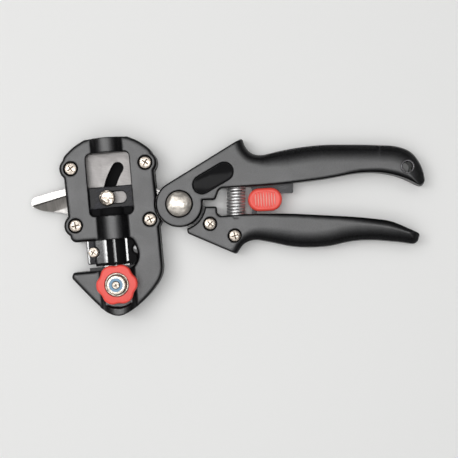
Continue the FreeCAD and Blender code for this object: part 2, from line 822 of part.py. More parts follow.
def pivot_bolt():
    seat = handle_thickness - pivot_sink
    base = seat + pivot_rim
    ball = (pivot_head ** 2 + pivot_dome ** 2) / (2 * pivot_dome)
    dome = Part.makeSphere(ball, V(0, 0, base + pivot_dome - ball))
    dome = dome.common(rod(0, 0, pivot_head, base, base + pivot_dome + overrun))
    shank = rod(0, 0, pivot_radius, 0, seat)
    return dome.fuse([rod(0, 0, pivot_head, seat, base), shank]).removeSplitter()


def pivot_nut():
    high = lever_z - pivot_nut_gap
    body = hexagon(0, 0, pivot_nut_across, high - pivot_nut_height, high)
    return body.cut(rod(0, 0, pivot_radius + fit_gap, 0, high + overrun))


def eased(body, levels, palm, palm_round):
    """A handle with its edges at some levels rounded large on the palm side and small elsewhere."""
    edges = [edge for level in levels for edge in rim(body, level, palm)]
    body = body.makeFillet(palm_round, edges)

    def inner(middle):
        return not palm(middle)

    edges = [edge for level in levels for edge in rim(body, level, inner)]
    return body.makeFillet(inner_round, edges)


def spring_seat_cut(face, away):
    """The pocket that holds one end of the return spring, with its spigot left standing."""
    floor = face + away * spring_seat
    radius = spring_radius + spring_wire + spring_seat_gap
    y0, y1 = sorted((face - away * spring_seat, floor))
    pocket = lying_rod(spring_x, handle_mid, radius, y0, y1)
    y0, y1 = sorted((floor, floor - away * spigot_height))
    spigot = lying_rod(spring_x, handle_mid, spigot_radius, y0, y1)
    return pocket, spigot


def upper_handle():
    beak = handle_reach * upper_handle_shares[0][0]
    end = handle_reach * upper_end_share
    palm_line = handle_reach * upper_palm_share

    def palm(middle):
        return middle.x > beak and (middle.y > palm_line or middle.x > end)

    corners = scaled(upper_handle_shares, handle_reach, handle_reach)
    touch = tangent_place(corners[0], disc_radius, 1)
    outline = corners + [(0, 0, 0), touch]
    front = slab(outline, plate_top, handle_thickness)
    front = front.fuse(rod(0, 0, disc_radius, plate_top, handle_thickness)).removeSplitter()
    front_wall = handle_thickness - plate_top
    palm_round = min(handle_reach * upper_palm_round_share, front_wall * palm_wall_share)
    front = eased(front, [handle_thickness], palm, palm_round)
    rear = eased(slab(outline, 0, plate_top), [0], palm, palm_round)
    rear_cuts = [rod(0, 0, arm_disc_radius + rear_clear, -overrun, plate_top)]
    rear_cuts.append(bar(-handle_reach, rear_start, -handle_reach, handle_reach, -overrun, plate_top))
    body = front.fuse(rear.cut(rear_cuts)).removeSplitter()
    tang_top = plate_top + pocket_gap
    cuts = [oblong(0, 0, *tang_place(tang_length), tang_half + pocket_gap, plate_z - pocket_gap, plate_top)]
    seat = foot_gap + tang_screw_head_height
    for reach in tang_screw_places:
        spot = tang_place(reach)
        cuts.append(rod(*spot, tang_screw_radius + fit_gap, -overrun, tang_top + tang_screw_bite))
        cuts.append(rod(*spot, tang_screw_head + counterbore_gap, -overrun, seat))
    pivot_seat = handle_thickness - pivot_sink
    cuts.append(rod(0, 0, pivot_radius + fit_gap, plate_top - overrun, handle_thickness))
    cuts.append(rod(0, 0, pivot_head + counterbore_gap, pivot_seat, handle_thickness + overrun))
    ends = [place(share) for share in badge_place_shares]
    badge_low = handle_thickness - badge_depth
    cuts.append(oblong(*ends[0], *ends[1], badge_radius, badge_low, handle_thickness + overrun))
    eyelet = place(eyelet_place_shares)
    cuts.append(rod(*eyelet, eyelet_radius + eyelet_wall + fit_gap, -overrun, handle_thickness + overrun))
    cuts.append(rod(*eyelet, eyelet_flange + fit_gap, -overrun, eyelet_flange_height))
    ceiling = handle_reach * latch_top_share + latch_slot_room
    slot_left = latch_left - latch_slot_room
    slot_right = latch_right + latch_travel + latch_slot_room
    slot_low = latch_low - pocket_gap
    slot_high = latch_high + pocket_gap
    cuts.append(bar(slot_left, slot_right, 0, ceiling, slot_low, slot_high))
    for share in latch_pin_shares:
        low = latch_pin_inset - fit_gap
        cuts.append(rod(*place(share), latch_pin_radius + fit_gap, low, handle_thickness - low))
    pocket, spigot = spring_seat_cut(spring_high, 1)
    return body.cut(cuts + [pocket]).fuse(spigot).removeSplitter()


def lower_handle():
    tip = handle_reach * lower_handle_shares[-1][0]
    palm_line = handle_reach * lower_palm_share

    def palm(middle):
        return middle.x > tip and middle.y < palm_line

    corners = scaled(lower_handle_shares, handle_reach, handle_reach)
    corners += scaled(lower_hub_shares, disc_radius, disc_radius)
    body = slab(corners, 0, handle_thickness)
    body = body.cut(rod(0, 0, disc_radius + lower_arc_gap, -overrun, handle_thickness + overrun))
    body = eased(body.Solids[0], [0, handle_thickness], palm, handle_reach * lower_palm_round_share)
    far = place(screw_place_shares[1])
    tang_top = lever_top + pocket_gap
    cuts = [oblong(0, 0, *far, lever_tang_half + pocket_gap, -overrun, tang_top)]
    seat = handle_thickness - handle_screw_sink
    for share in screw_place_shares:
        cuts.append(rod(*place(share), handle_screw_radius + fit_gap, 0, handle_thickness))
        head = handle_screw_head + counterbore_gap
        cuts.append(rod(*place(share), head, seat, handle_thickness + overrun))
    slot_left = latch_left - latch_slot_room
    slot_right = hook_tip + latch_travel + latch_slot_room + catch_run
    slot_low = latch_low - pocket_gap
    slot_high = latch_high + pocket_gap
    cuts.append(bar(slot_left, slot_right, hook_bottom - latch_slot_room, 0, slot_low, slot_high))
    low = catch_inset - fit_gap
    cuts.append(rod(catch_x, catch_y, catch_radius + fit_gap, low, handle_thickness - low))
    pocket, spigot = spring_seat_cut(spring_low, -1)
    return body.cut(cuts + [pocket]).fuse(spigot).removeSplitter()


def handle_screws():
    size = (handle_screw_head, handle_screw_head_height, handle_screw_radius)
    seat = handle_thickness - handle_screw_sink
    length = seat - lever_z
    screws = [cross_screw(*place(share), seat, size, length) for share in screw_place_shares]
    return Part.makeCompound(screws)


def tang_screws():
    size = (tang_screw_head, tang_screw_head_height, tang_screw_radius)
    seat = foot_gap + tang_screw_head_height
    length = plate_top + tang_screw_bite - seat
    screws = [cross_screw(*tang_place(reach), seat, size, length, down=True) for reach in tang_screw_places]
    return Part.makeCompound(screws)


def drive_pin():
    seat = wing_top + shear_gap
    spot = pin_place(pin_rest_angle)
    return cross_screw(*spot, seat, (drive_head, drive_head_height, drive_pin_radius), seat - lever_z)


def drive_bush():
    spot = pin_place(pin_rest_angle)
    return tube(*spot, drive_bush_radius, drive_pin_radius + fit_gap, lever_top, wing_top + shear_gap)


def catch_pin():
    return rod(catch_x, catch_y, catch_radius, catch_inset, handle_thickness - catch_inset)


def badge_plate():
    ends = [place(share) for share in badge_place_shares]
    low = handle_thickness - badge_depth
    return oblong(*ends[0], *ends[1], badge_radius - badge_edge, low, low + badge_thickness)


def lanyard_eyelet():
    spot = place(eyelet_place_shares)
    top = handle_thickness + eyelet_flange_height
    body = rod(*spot, eyelet_radius + eyelet_wall, 0, top)
    for high in (eyelet_flange_height, top):
        body = body.fuse(rod(*spot, eyelet_flange, high - eyelet_flange_height, high))
    return body.cut(rod(*spot, eyelet_radius, -overrun, top + overrun)).removeSplitter()


def return_spring():
    """A coil of round wire between the floors of the two seats."""
    low = spring_low - spring_seat + spring_wire + fit_gap
    high = spring_high + spring_seat - spring_wire - fit_gap
    path = Part.makeHelix((high - low) / spring_turns, high - low, spring_radius)
    circle = Part.Circle(V(spring_radius, 0, 0), V(0, 1, 0), spring_wire).toShape()
    coil = Part.Wire(path.Edges).makePipeShell([Part.Wire([circle])], True, True)
    coil.rotate(ORIGIN, ACROSS, -90)
    coil.translate(V(spring_x, low, handle_mid))
    return coil


def latch_plate():
    bar_low = handle_reach * latch_bar_share
    body_right = handle_reach * latch_body_share
    foot = handle_reach * latch_foot_share
    top = handle_reach * latch_top_share
    stem_right = latch_left + hook_width
    corners = [
        (latch_left, top, latch_radius), (latch_left, hook_bottom, latch_radius),
        (hook_tip, hook_bottom, 0), (hook_tip, hook_top, 0), (stem_right, hook_top, 0),
        (stem_right, foot, latch_radius), (body_right, foot, latch_radius),
        (body_right, bar_low, latch_radius), (latch_right, bar_low, latch_radius),
        (latch_right, top, latch_radius),
    ]
    body = slab(corners, latch_low, latch_high)
    cuts = []
    low = latch_low - overrun
    high = latch_high + overrun
    radius = latch_pin_radius + fit_gap
    for share in latch_pin_shares:
        x, y = place(share)
        cuts.append(oblong(x - latch_travel - fit_gap, y, x + fit_gap, y, radius, low, high))
    cuts += [rod(*spot, rivet_radius + fit_gap, low, high) for spot in rivet_places()]
    return body.cut(cuts)


def rivet_places():
    return [(button_x + side * rivet_spread, button_y) for side in (-1, 1)]


def oval(length, width, corner, low, high):
    half_length = length / 2
    half_width = width / 2
    corners = [(-half_length, -half_width), (half_length, -half_width)]
    corners += [(half_length, half_width), (-half_length, half_width)]
    body = slab([(*spot, corner) for spot in corners], low, high)
    body.rotate(ORIGIN, UP, button_tilt)
    body.translate(V(button_x, button_y, 0))
    return body


def latch_button():
    top = latch_high + button_height
    body = oval(button_length, button_width, button_corner, latch_high, top)
    body = body.makeFillet(button_round, rim(body, top, everywhere))
    low = latch_high - overrun
    holes = [rod(*spot, rivet_radius + fit_gap, low, top - rivet_bury) for spot in rivet_places()]
    return body.cut(holes)


def latch_backing():
    low = latch_low - backing_height
    inset = 2 * backing_inset
    body = oval(button_length - inset, button_width - inset, button_corner - backing_inset, low, latch_low)
    body = body.makeFillet(button_round, rim(body, low, everywhere))
    radius = rivet_radius + fit_gap
    return body.cut([rod(*spot, radius, low - overrun, latch_low + overrun) for spot in rivet_places()])


def latch_rivets():
    low = latch_low - backing_height
    high = latch_high + button_height - rivet_bury
    return Part.makeCompound([rod(*spot, rivet_radius, low, high) for spot in rivet_places()])


def latch_pins():
    high = handle_thickness - latch_pin_inset
    return Part.makeCompound(
        [rod(*place(share), latch_pin_radius, latch_pin_inset, high) for share in latch_pin_shares])


os.makedirs("parts", exist_ok=True)
pieces = {
    "front_housing": front_housing,
    "back_cover": back_cover,
    "side_plate": side_plate,
    "housing_screws": housing_screws,
    "back_screws": back_screws,
    "anvil": anvil,
    "clamp_bolt": clamp_bolt,
    "clamp_knob": clamp_knob,
    "knob_washer": knob_washer,
    "lock_nut": lock_nut,
    "nut_ring": nut_ring,
    "cutter_carrier": cutter_carrier,
    "cutter_clamp": cutter_clamp,
    "omega_blade": omega_blade,
    "cutter_screws": cutter_screws,
    "lever": lever,
    "drive_pin": drive_pin,
    "drive_bush": drive_bush,
    "pivot_bolt": pivot_bolt,
    "pivot_nut": pivot_nut,
    "upper_handle": upper_handle,
    "tang_screws": tang_screws,
    "badge_plate": badge_plate,
    "lanyard_eyelet": lanyard_eyelet,
    "lower_handle": lower_handle,
    "handle_screws": handle_screws,
    "catch_pin": catch_pin,
    "return_spring": return_spring,
    "latch_plate": latch_plate,
    "latch_button": latch_button,
    "latch_backing": latch_backing,
    "latch_rivets": latch_rivets,
    "latch_pins": latch_pins,
}
for name, make in pieces.items():
    save(name, make())
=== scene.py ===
"""Looks of an omega grafting tool: coated castings, ground steel, plated screws and red plastic."""

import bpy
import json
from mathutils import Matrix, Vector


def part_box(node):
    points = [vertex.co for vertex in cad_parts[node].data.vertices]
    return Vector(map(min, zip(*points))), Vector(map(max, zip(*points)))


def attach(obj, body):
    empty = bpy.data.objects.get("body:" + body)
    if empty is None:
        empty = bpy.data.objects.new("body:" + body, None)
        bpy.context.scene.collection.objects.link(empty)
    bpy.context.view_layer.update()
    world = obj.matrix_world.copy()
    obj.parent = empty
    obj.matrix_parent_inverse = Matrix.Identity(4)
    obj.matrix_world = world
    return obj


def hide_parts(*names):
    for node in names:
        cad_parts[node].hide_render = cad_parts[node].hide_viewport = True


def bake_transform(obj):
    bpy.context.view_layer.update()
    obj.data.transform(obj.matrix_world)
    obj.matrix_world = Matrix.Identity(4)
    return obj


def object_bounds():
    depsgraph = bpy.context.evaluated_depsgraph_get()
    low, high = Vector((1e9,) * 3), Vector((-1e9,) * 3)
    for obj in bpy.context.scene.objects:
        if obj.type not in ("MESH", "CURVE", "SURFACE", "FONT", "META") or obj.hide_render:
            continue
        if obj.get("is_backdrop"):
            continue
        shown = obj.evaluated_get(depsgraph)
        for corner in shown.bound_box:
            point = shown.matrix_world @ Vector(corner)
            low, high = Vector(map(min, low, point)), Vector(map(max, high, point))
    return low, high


bl_info = {
    "name": "Omega grafting tool",
    "version": (1, 0, 0),
    "blender": (4, 5, 0),
    "location": "View3D > Sidebar > Grafting tool",
    "description": "Dresses the grafting tool with its finished pieces",
    "category": "Add Mesh",
}

import json
from functools import cache
from math import asin, atan2, copysign, cos, degrees, inf, pi, radians, sin, sqrt, tan, tau

import bmesh
import bpy
from bpy.props import FloatProperty, FloatVectorProperty, IntProperty, PointerProperty
from bpy.types import Operator, Panel, PropertyGroup
from mathutils import Matrix, Vector
from mathutils.bvhtree import BVHTree
from mathutils.kdtree import KDTree

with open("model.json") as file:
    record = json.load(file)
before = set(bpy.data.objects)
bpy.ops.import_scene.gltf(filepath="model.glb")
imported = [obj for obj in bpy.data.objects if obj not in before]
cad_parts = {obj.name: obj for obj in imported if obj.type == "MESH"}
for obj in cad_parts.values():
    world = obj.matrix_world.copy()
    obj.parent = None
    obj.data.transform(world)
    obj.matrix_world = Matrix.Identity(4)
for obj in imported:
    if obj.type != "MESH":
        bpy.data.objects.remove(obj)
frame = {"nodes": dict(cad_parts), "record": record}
cad_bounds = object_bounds()

MM = 0.001
WELD = 0.001 * MM
NODE_WELD = 0.0005 * MM
FLAT_ANGLE = radians(0.5)
SHARP_ANGLE = radians(30)
CLEARANCE = 0.05 * MM

# The side plate's grinding, and its jaw: turn, the cutting edge's distance, where it shows, and the toothed
# shadow line painted along the cutting edge, with its width
PLATE_TURN = radians(80)
JAW_TURN = radians(17.1)
JAW_OFFSET = 23.34 * MM
JAW_START = -57 * MM
JAW_SIDES = (-6 * MM, 12 * MM)
TOOTH_PITCH = 0.85 * MM
TOOTH_GAP = 0.45
TOOTH_HEIGHT = 0.7 * MM
EDGE_LINE = 0.25 * MM

# Across and along the throat, from the clamp bolt
TO_HEAD = Matrix.Rotation(radians(-5), 3, "Z")
CLAMP_AXIS = sum(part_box("clamp_bolt"), Vector()) / 2

# The clamp's front from left to right: where each band starts in mm from the rib's crest, its finish; the
# finishes paint light, with gloss and polished bands as highlight lines, painted shade bands as black
# flanks and dim enamel between
CLAMP_LIGHT_BANDS = (
    (-inf, "polished"), (-14.7, "enamel"), (-10.6, "gloss"), (-5.8, "polished"), (-4.3, "painted_shade"),
    (-0.75, "gloss"), (0.75, "painted_shade"), (5.8, "polished"), (6.8, "painted_shade"),
)
CLAMP_FINISHES = ("enamel", "painted_shade", "gloss", "polished")
CLAMP_END = 12.2 * MM
CLAMP_FRONT = 12.9 * MM
WINDOW_END = -12 * MM
WINDOW_FRONT = 14.1 * MM

# The clamp's rib and the flats beside it
RIB_FLATS = 14.7 * MM
RIB_SIDES = (-4.4 * MM, 5.6 * MM)
RIB_RADIUS = 3.0 * MM
LEFT_FLAT = -6.6 * MM
LEFT_SLOPE = tan(radians(7))
CLAMP_HALF = 11.4 * MM
CLAMP_TOP = 32 * MM

# Each handle's edges, in mm: the side along Y, where along X they start, the curve's reach along X
GRIP_SLOPE = radians(52)
GRIP_EDGES = {
    "upper_handle": (
        (1, 35, ((35, 3.0), (46, 6.4), (60, 9.2))),
        (-1, 46, ((46, 1.2), (90, 1.8), (106, 2.8), (122, 3.2)))),
    "lower_handle": (
        (-1, 31, ((31, 4.0), (42, 7.0), (60, 9.4))),
        (1, 21, ((21, 1.0), (40, 1.2), (56, 2.4), (90, 2.8), (112, 4.6)))),
}

# A face is steep below this upright share of its normal, and fully so a span below it; the powder coat
# turns steep faces black as painted shade
STEEP_FROM = 0.97
STEEP_SPAN = 0.17

# Bolts, and the nuts' widths across flats
BOLT_RADIUS = 3.0 * MM
LOCK_NUT_WIDTH = 10.0 * MM
PIVOT_NUT_WIDTH = 13.0 * MM
PIVOT_SHANK = 4.0 * MM

# Under the camera
VIEW_CENTRE = (27.5 * MM, -13.86 * MM)
FRONT_HEIGHT = 17 * MM


# Sizes and colours that can be changed

def kind(prop, **fixed):
    """A maker of one kind of setting, from a name, a description and a default."""
    def made(name, description, default, **more):
        return prop(name=name, description=description, default=default, **fixed, **more)
    return made


length = kind(FloatProperty, unit="LENGTH", precision=5)
colour = kind(FloatVectorProperty, subtype="COLOR", min=0, max=1)
angle = kind(FloatProperty, subtype="ANGLE")
number = kind(FloatProperty)
power = kind(FloatProperty, subtype="POWER")
count = kind(IntProperty)


class CastingSettings(PropertyGroup):
    grain: length("Grain", "Cell size of the castings", 0.4 * MM)
    block_grain: length("Block grain", "Cell size of the cutter block", 0.25 * MM)
    softening: count("Softening", "Rounds of smoothing of the cast edges", 5, min=0)
    coat: colour("Coat", "Powder coat on the castings", (0.011, 0.011, 0.012))
    enamel: colour("Enamel", "Enamel on the cutter block", (0.006, 0.006, 0.007))
    # Painted shade: the black put where recesses and flanks fall into shade
    hollow: colour("Hollow", "Black inside recesses", (0.006, 0.006, 0.0065))


class SteelSettings(PropertyGroup):
    edge: length("Edge", "Rounding of the plates' edges", 0.12 * MM)
    plate: colour("Plate", "Ground steel of the plate", (0.20, 0.192, 0.188))
    blade: colour("Blade", "Polished steel of the blades", (0.36, 0.35, 0.34))
    bevel: colour("Bevel", "Coarsely ground bevels", (0.24, 0.228, 0.215))
    # Painted shadow: the dark, toothed line along the side plate's cutting edge
    teeth: colour("Teeth", "Teeth along the jaw", (0.012, 0.011, 0.01))
    nickel: colour("Nickel", "Plating of the screws and nuts", (0.54, 0.485, 0.425))
    # Painted shade: the darker, browner plating put inside the screws' crosses and the washer's groove
    recess: colour("Recess", "Plating inside the screws' crosses", (0.15, 0.122, 0.098))
    dome: colour("Dome", "Dome of the pivot bolt", (0.56, 0.53, 0.485))
    eyelet: colour("Eyelet", "Black plating of the eyelet", (0.10, 0.10, 0.105))
    spring: colour("Spring", "Drawn wire of the spring", (1.0, 0.99, 0.98))
    latch: colour("Latch", "Dark finish of the latch plate", (0.03, 0.03, 0.031))


class ScrewSettings(PropertyGroup):
    edge: length("Edge", "Rounding under the head", 0.15 * MM)
    recess: number("Recess", "Reach of the cross, by the head", 0.60)
    slot: number("Slot", "Width of the cross's slots, by the head", 0.23)


class KnobSettings(PropertyGroup):
    lobes: count("Lobes", "Lobes of the star knob", 6, min=3)
    swell: length("Swell", "Height of the lobes", 1.1 * MM)
    turn: angle("Turn", "Angle of the first lobe", radians(5.8))
    plastic: colour("Plastic", "Red plastic of the knob", (0.97, 0.078, 0.057))
    nylon: colour("Nylon", "Locking ring of the nut", (0.20, 0.36, 0.52))


class SpringSettings(PropertyGroup):
    wire: length("Wire", "Radius of the wire", 0.66 * MM)
    turns: count("Turns", "Turns between the closed ends", 8, min=2)


class LatchSettings(PropertyGroup):
    ribs: count("Ribs", "Ribs across the button", 8, min=1)
    rib_pitch: length("Rib pitch", "Distance between the ribs", 1.5 * MM)
    tilt: angle("Tilt", "Turn of the button", radians(3))
    plastic: colour("Plastic", "Red plastic of the button", (0.95, 0.09, 0.065))
    # Painted highlight: the lighter colour on the tops of the button's ribs
    ribbing: colour("Ribbing", "Tops of the button's ribs", (0.98, 0.36, 0.31))


class TrimSettings(PropertyGroup):
    inlay: colour("Inlay", "Bare inlay of the badge", (0.004, 0.004, 0.0045))
    anvil: colour("Anvil", "Plastic of the anvil", (0.016, 0.016, 0.017))


class StageSettings(PropertyGroup):
    distance: length("Distance", "From the front faces to the camera", 0.7)
    lens: number("Lens", "Focal length in mm", 100.04)
    floor: colour("Floor", "Pale floor", (0.90, 0.90, 0.89))
    lamp: power("Lamp", "Power of the soft box", 8.5)
    core: power("Core", "Power of the soft box's middle", 5.5)
    tent: power("Tent", "Power of the light tent", 7.5)
    sky: number("Sky", "Strength of the world", 0.10)


class ToolSettings(PropertyGroup):
    casting: PointerProperty(type=CastingSettings)
    steel: PointerProperty(type=SteelSettings)
    screw: PointerProperty(type=ScrewSettings)
    knob: PointerProperty(type=KnobSettings)
    spring: PointerProperty(type=SpringSettings)
    latch: PointerProperty(type=LatchSettings)
    trim: PointerProperty(type=TrimSettings)
    stage: PointerProperty(type=StageSettings)


# Shader maths

class Sock:
    """An output socket; arithmetic on it adds Math nodes."""

    def __init__(self, finish, socket):
        self.finish = finish
        self.socket = socket

    def math(self, operation, *values):
        return self.finish.node("ShaderNodeMath", {"operation": operation}, dict(enumerate(values)))

    def __add__(self, other):
        return self.math("ADD", self, other)

    def __sub__(self, other):
        return self.math("SUBTRACT", self, other)

    def __rsub__(self, other):
        return self.math("SUBTRACT", other, self)

    def __mul__(self, other):
        return self.math("MULTIPLY", self, other)

    def __truediv__(self, other):
        return self.math("DIVIDE", self, other)

    def __gt__(self, other):
        return self.math("GREATER_THAN", self, other)

    def __lt__(self, other):
        return self.math("LESS_THAN", self, other)

    def fraction(self):
        return self.math("FRACT", self)

    __radd__ = __add__


class Finish:
    """A material with one Principled shader."""

    def __init__(self, name, **constants):
        self.material = bpy.data.materials.new(name)
        self.material.use_nodes = True
        self.tree = self.material.node_tree
        self.shader = self.tree.nodes["Principled BSDF"]
        for socket, value in constants.items():
            self.shader.inputs[socket.replace("_", " ")].default_value = value

    def node(self, kind, settings=None, sockets=None, output=0):
        """Adds a node, sets or links its sockets, and gives one of its outputs."""
        made = self.tree.nodes.new(kind)
        for name, value in (settings or {}).items():
            setattr(made, name, value)
        for name, value in (sockets or {}).items():
            if isinstance(value, Sock):
                self.tree.links.new(value.socket, made.inputs[name])
            else:
                made.inputs[name].default_value = value
        return Sock(self, made.outputs[output])

    def places(self, turn=0.0, stretch=(1, 1, 1)):
        """Object coordinates, turned about Z and then drawn out along the turned axes."""
        where = self.node("ShaderNodeTexCoord", output="Object")
        return self.node(
            "ShaderNodeMapping", {"vector_type": "TEXTURE"},
            {"Vector": where, "Rotation": (0, 0, turn), "Scale": stretch})

    def split(self, places, axis):
        return self.node("ShaderNodeSeparateXYZ", None, {"Vector": places}, axis)

    def noise(self, scale, detail=3.0, roughness=0.5, turn=0.0, stretch=(1, 1, 1)):
        return self.node("ShaderNodeTexNoise", None, {
            "Vector": self.places(turn, stretch), "Scale": scale, "Detail": detail, "Roughness": roughness})

    def ramp(self, value, low, high):
        """A mask from 0 to 1 between two values."""
        mask = self.node("ShaderNodeValToRGB", None, {"Fac": value})
        for element, place in zip(mask.socket.node.color_ramp.elements, (low, high)):
            element.position = place
        return mask

    def blend(self, mask, low, high):
        """A colour between two, by a mask."""
        sockets = {0: mask, 6: rgba(low), 7: rgba(high)}
        return self.node("ShaderNodeMix", {"data_type": "RGBA"}, sockets, 2)

    def shades(self, mask, base, low, high):
        """A colour between two shades of a base, by a mask."""
        return self.blend(mask, shade(base, low), shade(base, high))

    def bump(self, height, depth, strength):
        """A bump by a depth in mm."""
        return self.node(
            "ShaderNodeBump", None, {"Height": height, "Distance": depth * MM, "Strength": strength})

    def feed(self, **links):
        for socket, value in links.items():
            self.tree.links.new(value.socket, self.shader.inputs[socket.replace("_", " ")])
        return self.material


def rgba(value):
    return value if isinstance(value, Sock) else (*value, 1)


def shade(base, factor):
    return tuple(min(1, channel * factor) for channel in base)


def powder_coat(base):
    """Satin powder coat: an orange peel skin with rubbed patches, and painted shade that turns steep faces
    black.
    """
    finish = Finish("powder_coat", Specular_IOR_Level=0.9)
    peel = finish.noise(900, 2)
    grains = finish.noise(5200, 2)
    rubbed = finish.ramp(finish.noise(60, 4, 0.6), 0.42, 0.75)
    speck = finish.ramp(finish.noise(1500, 3, 0.7), 0.35, 0.65)
    steep = finish.node("ShaderNodeAttribute", {"attribute_name": "steep"}, output=2)
    return finish.feed(
        Base_Color=finish.shades(speck * 0.7 + rubbed * 0.3, base, 0.1, 2.6),
        Roughness=0.34 + speck * 0.10 + grains * 0.06 - rubbed * 0.05,
        # Painted shade: steep faces go metallic, so the near-black coat loses its diffuse light and sheen
        # there and the rolled edges read black
        Metallic=steep * 0.85,
        Normal=finish.bump(peel * 0.7 + grains * 0.3, 0.05, 0.9))


def painted_shade_black(base):
    """Painted shade: a matt black with a dusty grain, put where recesses and flanks fall into shade."""
    finish = Finish("painted_shade_black", Specular_IOR_Level=0.12)
    grain = finish.noise(2600, 3)
    return finish.feed(
        Base_Color=finish.shades(grain, base, 0.6, 1.6),
        Roughness=0.7 + grain * 0.2,
        Normal=finish.bump(grain, 0.03, 0.6))


def gloss_enamel(name, base, shine, density=1.5, wear=0.2):
    """Glossy black enamel, worn in patches; a higher density shines more."""
    finish = Finish(name, Specular_IOR_Level=shine, IOR=density)
    ripple = finish.noise(500, 2)
    dust = finish.ramp(finish.noise(3800, 3), 0.55, 0.8)
    scuff = finish.ramp(finish.noise(420, 4, 0.65, turn=0.5, stretch=(2.5, 1, 1)), 0.48, 0.72)
    return finish.feed(
        Base_Color=finish.shades(dust * 0.4 + scuff * wear, base, 1, 9),
        Roughness=0.07 + ripple * 0.06 + dust * 0.12 + scuff * wear * 0.4,
        Normal=finish.bump(ripple + scuff * wear, 0.05, 0.6))


def gloss_inlay(base):
    """A blank resin inlay, glossy and slightly wavy."""
    finish = Finish("gloss_inlay", Specular_IOR_Level=0.05)
    wave = finish.noise(160, 2)
    dust = finish.ramp(finish.noise(4200, 3), 0.60, 0.8)
    return finish.feed(
        Base_Color=finish.shades(dust, base, 1, 4),
        Roughness=0.07 + wave * 0.05 + dust * 0.12,
        Normal=finish.bump(wave, 0.04, 0.5))


def ground_steel(name, base, turn, roughness, streak, contrast=0.2, mask=None, other=None):
    """Steel with smears and with grinding lines across a direction; another colour by a mask."""
    finish = Finish(name, Metallic=1.0)
    lines = finish.ramp(finish.noise(streak, 3, 0.7, turn=turn, stretch=(1, 40, 40)), 0.35, 0.65)
    smear = finish.ramp(finish.noise(240, 5, 0.65), 0.34, 0.66)
    scratch = finish.ramp(finish.noise(2300, 2, turn=0.6, stretch=(1, 20, 1)), 0.66, 0.72)
    tone = finish.shades(lines * 0.6 + smear * 0.4, base, 1 - contrast, 1 + contrast)
    if mask:
        tone = finish.blend(mask(finish), tone, other)
    return finish.feed(
        Base_Color=tone,
        Roughness=roughness + lines * 0.10 + smear * 0.14 + scratch * 0.08,
        Normal=finish.bump(lines + scratch * 0.3, 0.02, 0.6))


def jaw_part(finish):
    """A mask for the side plate's polished jaw, which stands out of the head."""
    along, across = (finish.split(finish.places(), axis) for axis in (0, 1))
    return (along < JAW_START) * (across > JAW_SIDES[0]) * (across < JAW_SIDES[1])


def toothed_edge_shadow(finish):
    """A painted shadow line along the side plate's cutting edge, finely toothed."""
    turned = finish.places(JAW_TURN)
    tooth = (finish.split(turned, 0) / TOOTH_PITCH).fraction() > TOOTH_GAP
    return finish.split(turned, 1) > JAW_OFFSET - EDGE_LINE - tooth * TOOTH_HEIGHT


def plating(name, base, roughness=0.16, dent=0.03, grain=700):
    """Plated metal with an uneven skin, dented by a number of mm, and brownish spots."""
    finish = Finish(name, Metallic=1.0)
    uneven = finish.noise(grain, 2)
    spots = finish.ramp(finish.noise(1600, 4, 0.65), 0.50, 0.72)
    brown = (base[0] * 0.55, base[1] * 0.45, base[2] * 0.36)
    return finish.feed(
        Base_Color=finish.blend(spots * 0.7 + uneven * 0.15, base, brown),
        Roughness=roughness + uneven * 0.08 + spots * 0.15,
        Normal=finish.bump(uneven, dent, 0.7))


def drawn_wire(base):
    """Bright spring wire with fine lines from drawing."""
    finish = Finish("drawn_wire", Metallic=1.0)
    lines = finish.noise(6000, 2, stretch=(20, 1, 20))
    smear = finish.noise(400, 3)
    return finish.feed(
        Base_Color=finish.shades(smear, base, 0.8, 1.1),
        Roughness=0.38 + lines * 0.08 + smear * 0.08,
        Normal=finish.bump(lines, 0.008, 0.5))


def moulded(name, base, roughness=0.34):
    """Moulded plastic with a fine grain and faint flow marks."""
    finish = Finish(name, Specular_IOR_Level=0.5)
    grain = finish.noise(4200, 2)
    flow = finish.noise(160, 3, stretch=(1, 3, 1))
    return finish.feed(
        Base_Color=finish.shades(flow * 0.6 + grain * 0.3, base, 0.86, 1.12),
        Roughness=roughness + grain * 0.10 + flow * 0.06,
        Normal=finish.bump(grain, 0.015, 0.6))


def dark_steel(base):
    """Phosphated steel, rubbed paler in fine scratches."""
    finish = Finish("dark_steel", Metallic=0.8)
    smear = finish.noise(220, 4, 0.6)
    scratch = finish.ramp(finish.noise(2600, 3, turn=0.25, stretch=(16, 1, 1)), 0.60, 0.70)
    return finish.feed(
        Base_Color=finish.shades(scratch * 0.6 + smear * 0.3, base, 1, 3.2),
        Roughness=0.36 + smear * 0.14 - scratch * 0.08,
        Normal=finish.bump(smear - scratch * 0.4, 0.02, 0.5))


def pale_floor(base):
    finish = Finish("pale_floor", Roughness=0.9, Specular_IOR_Level=0.1)
    return finish.feed(Base_Color=finish.shades(finish.noise(3, 3), base, 0.985, 1.01))


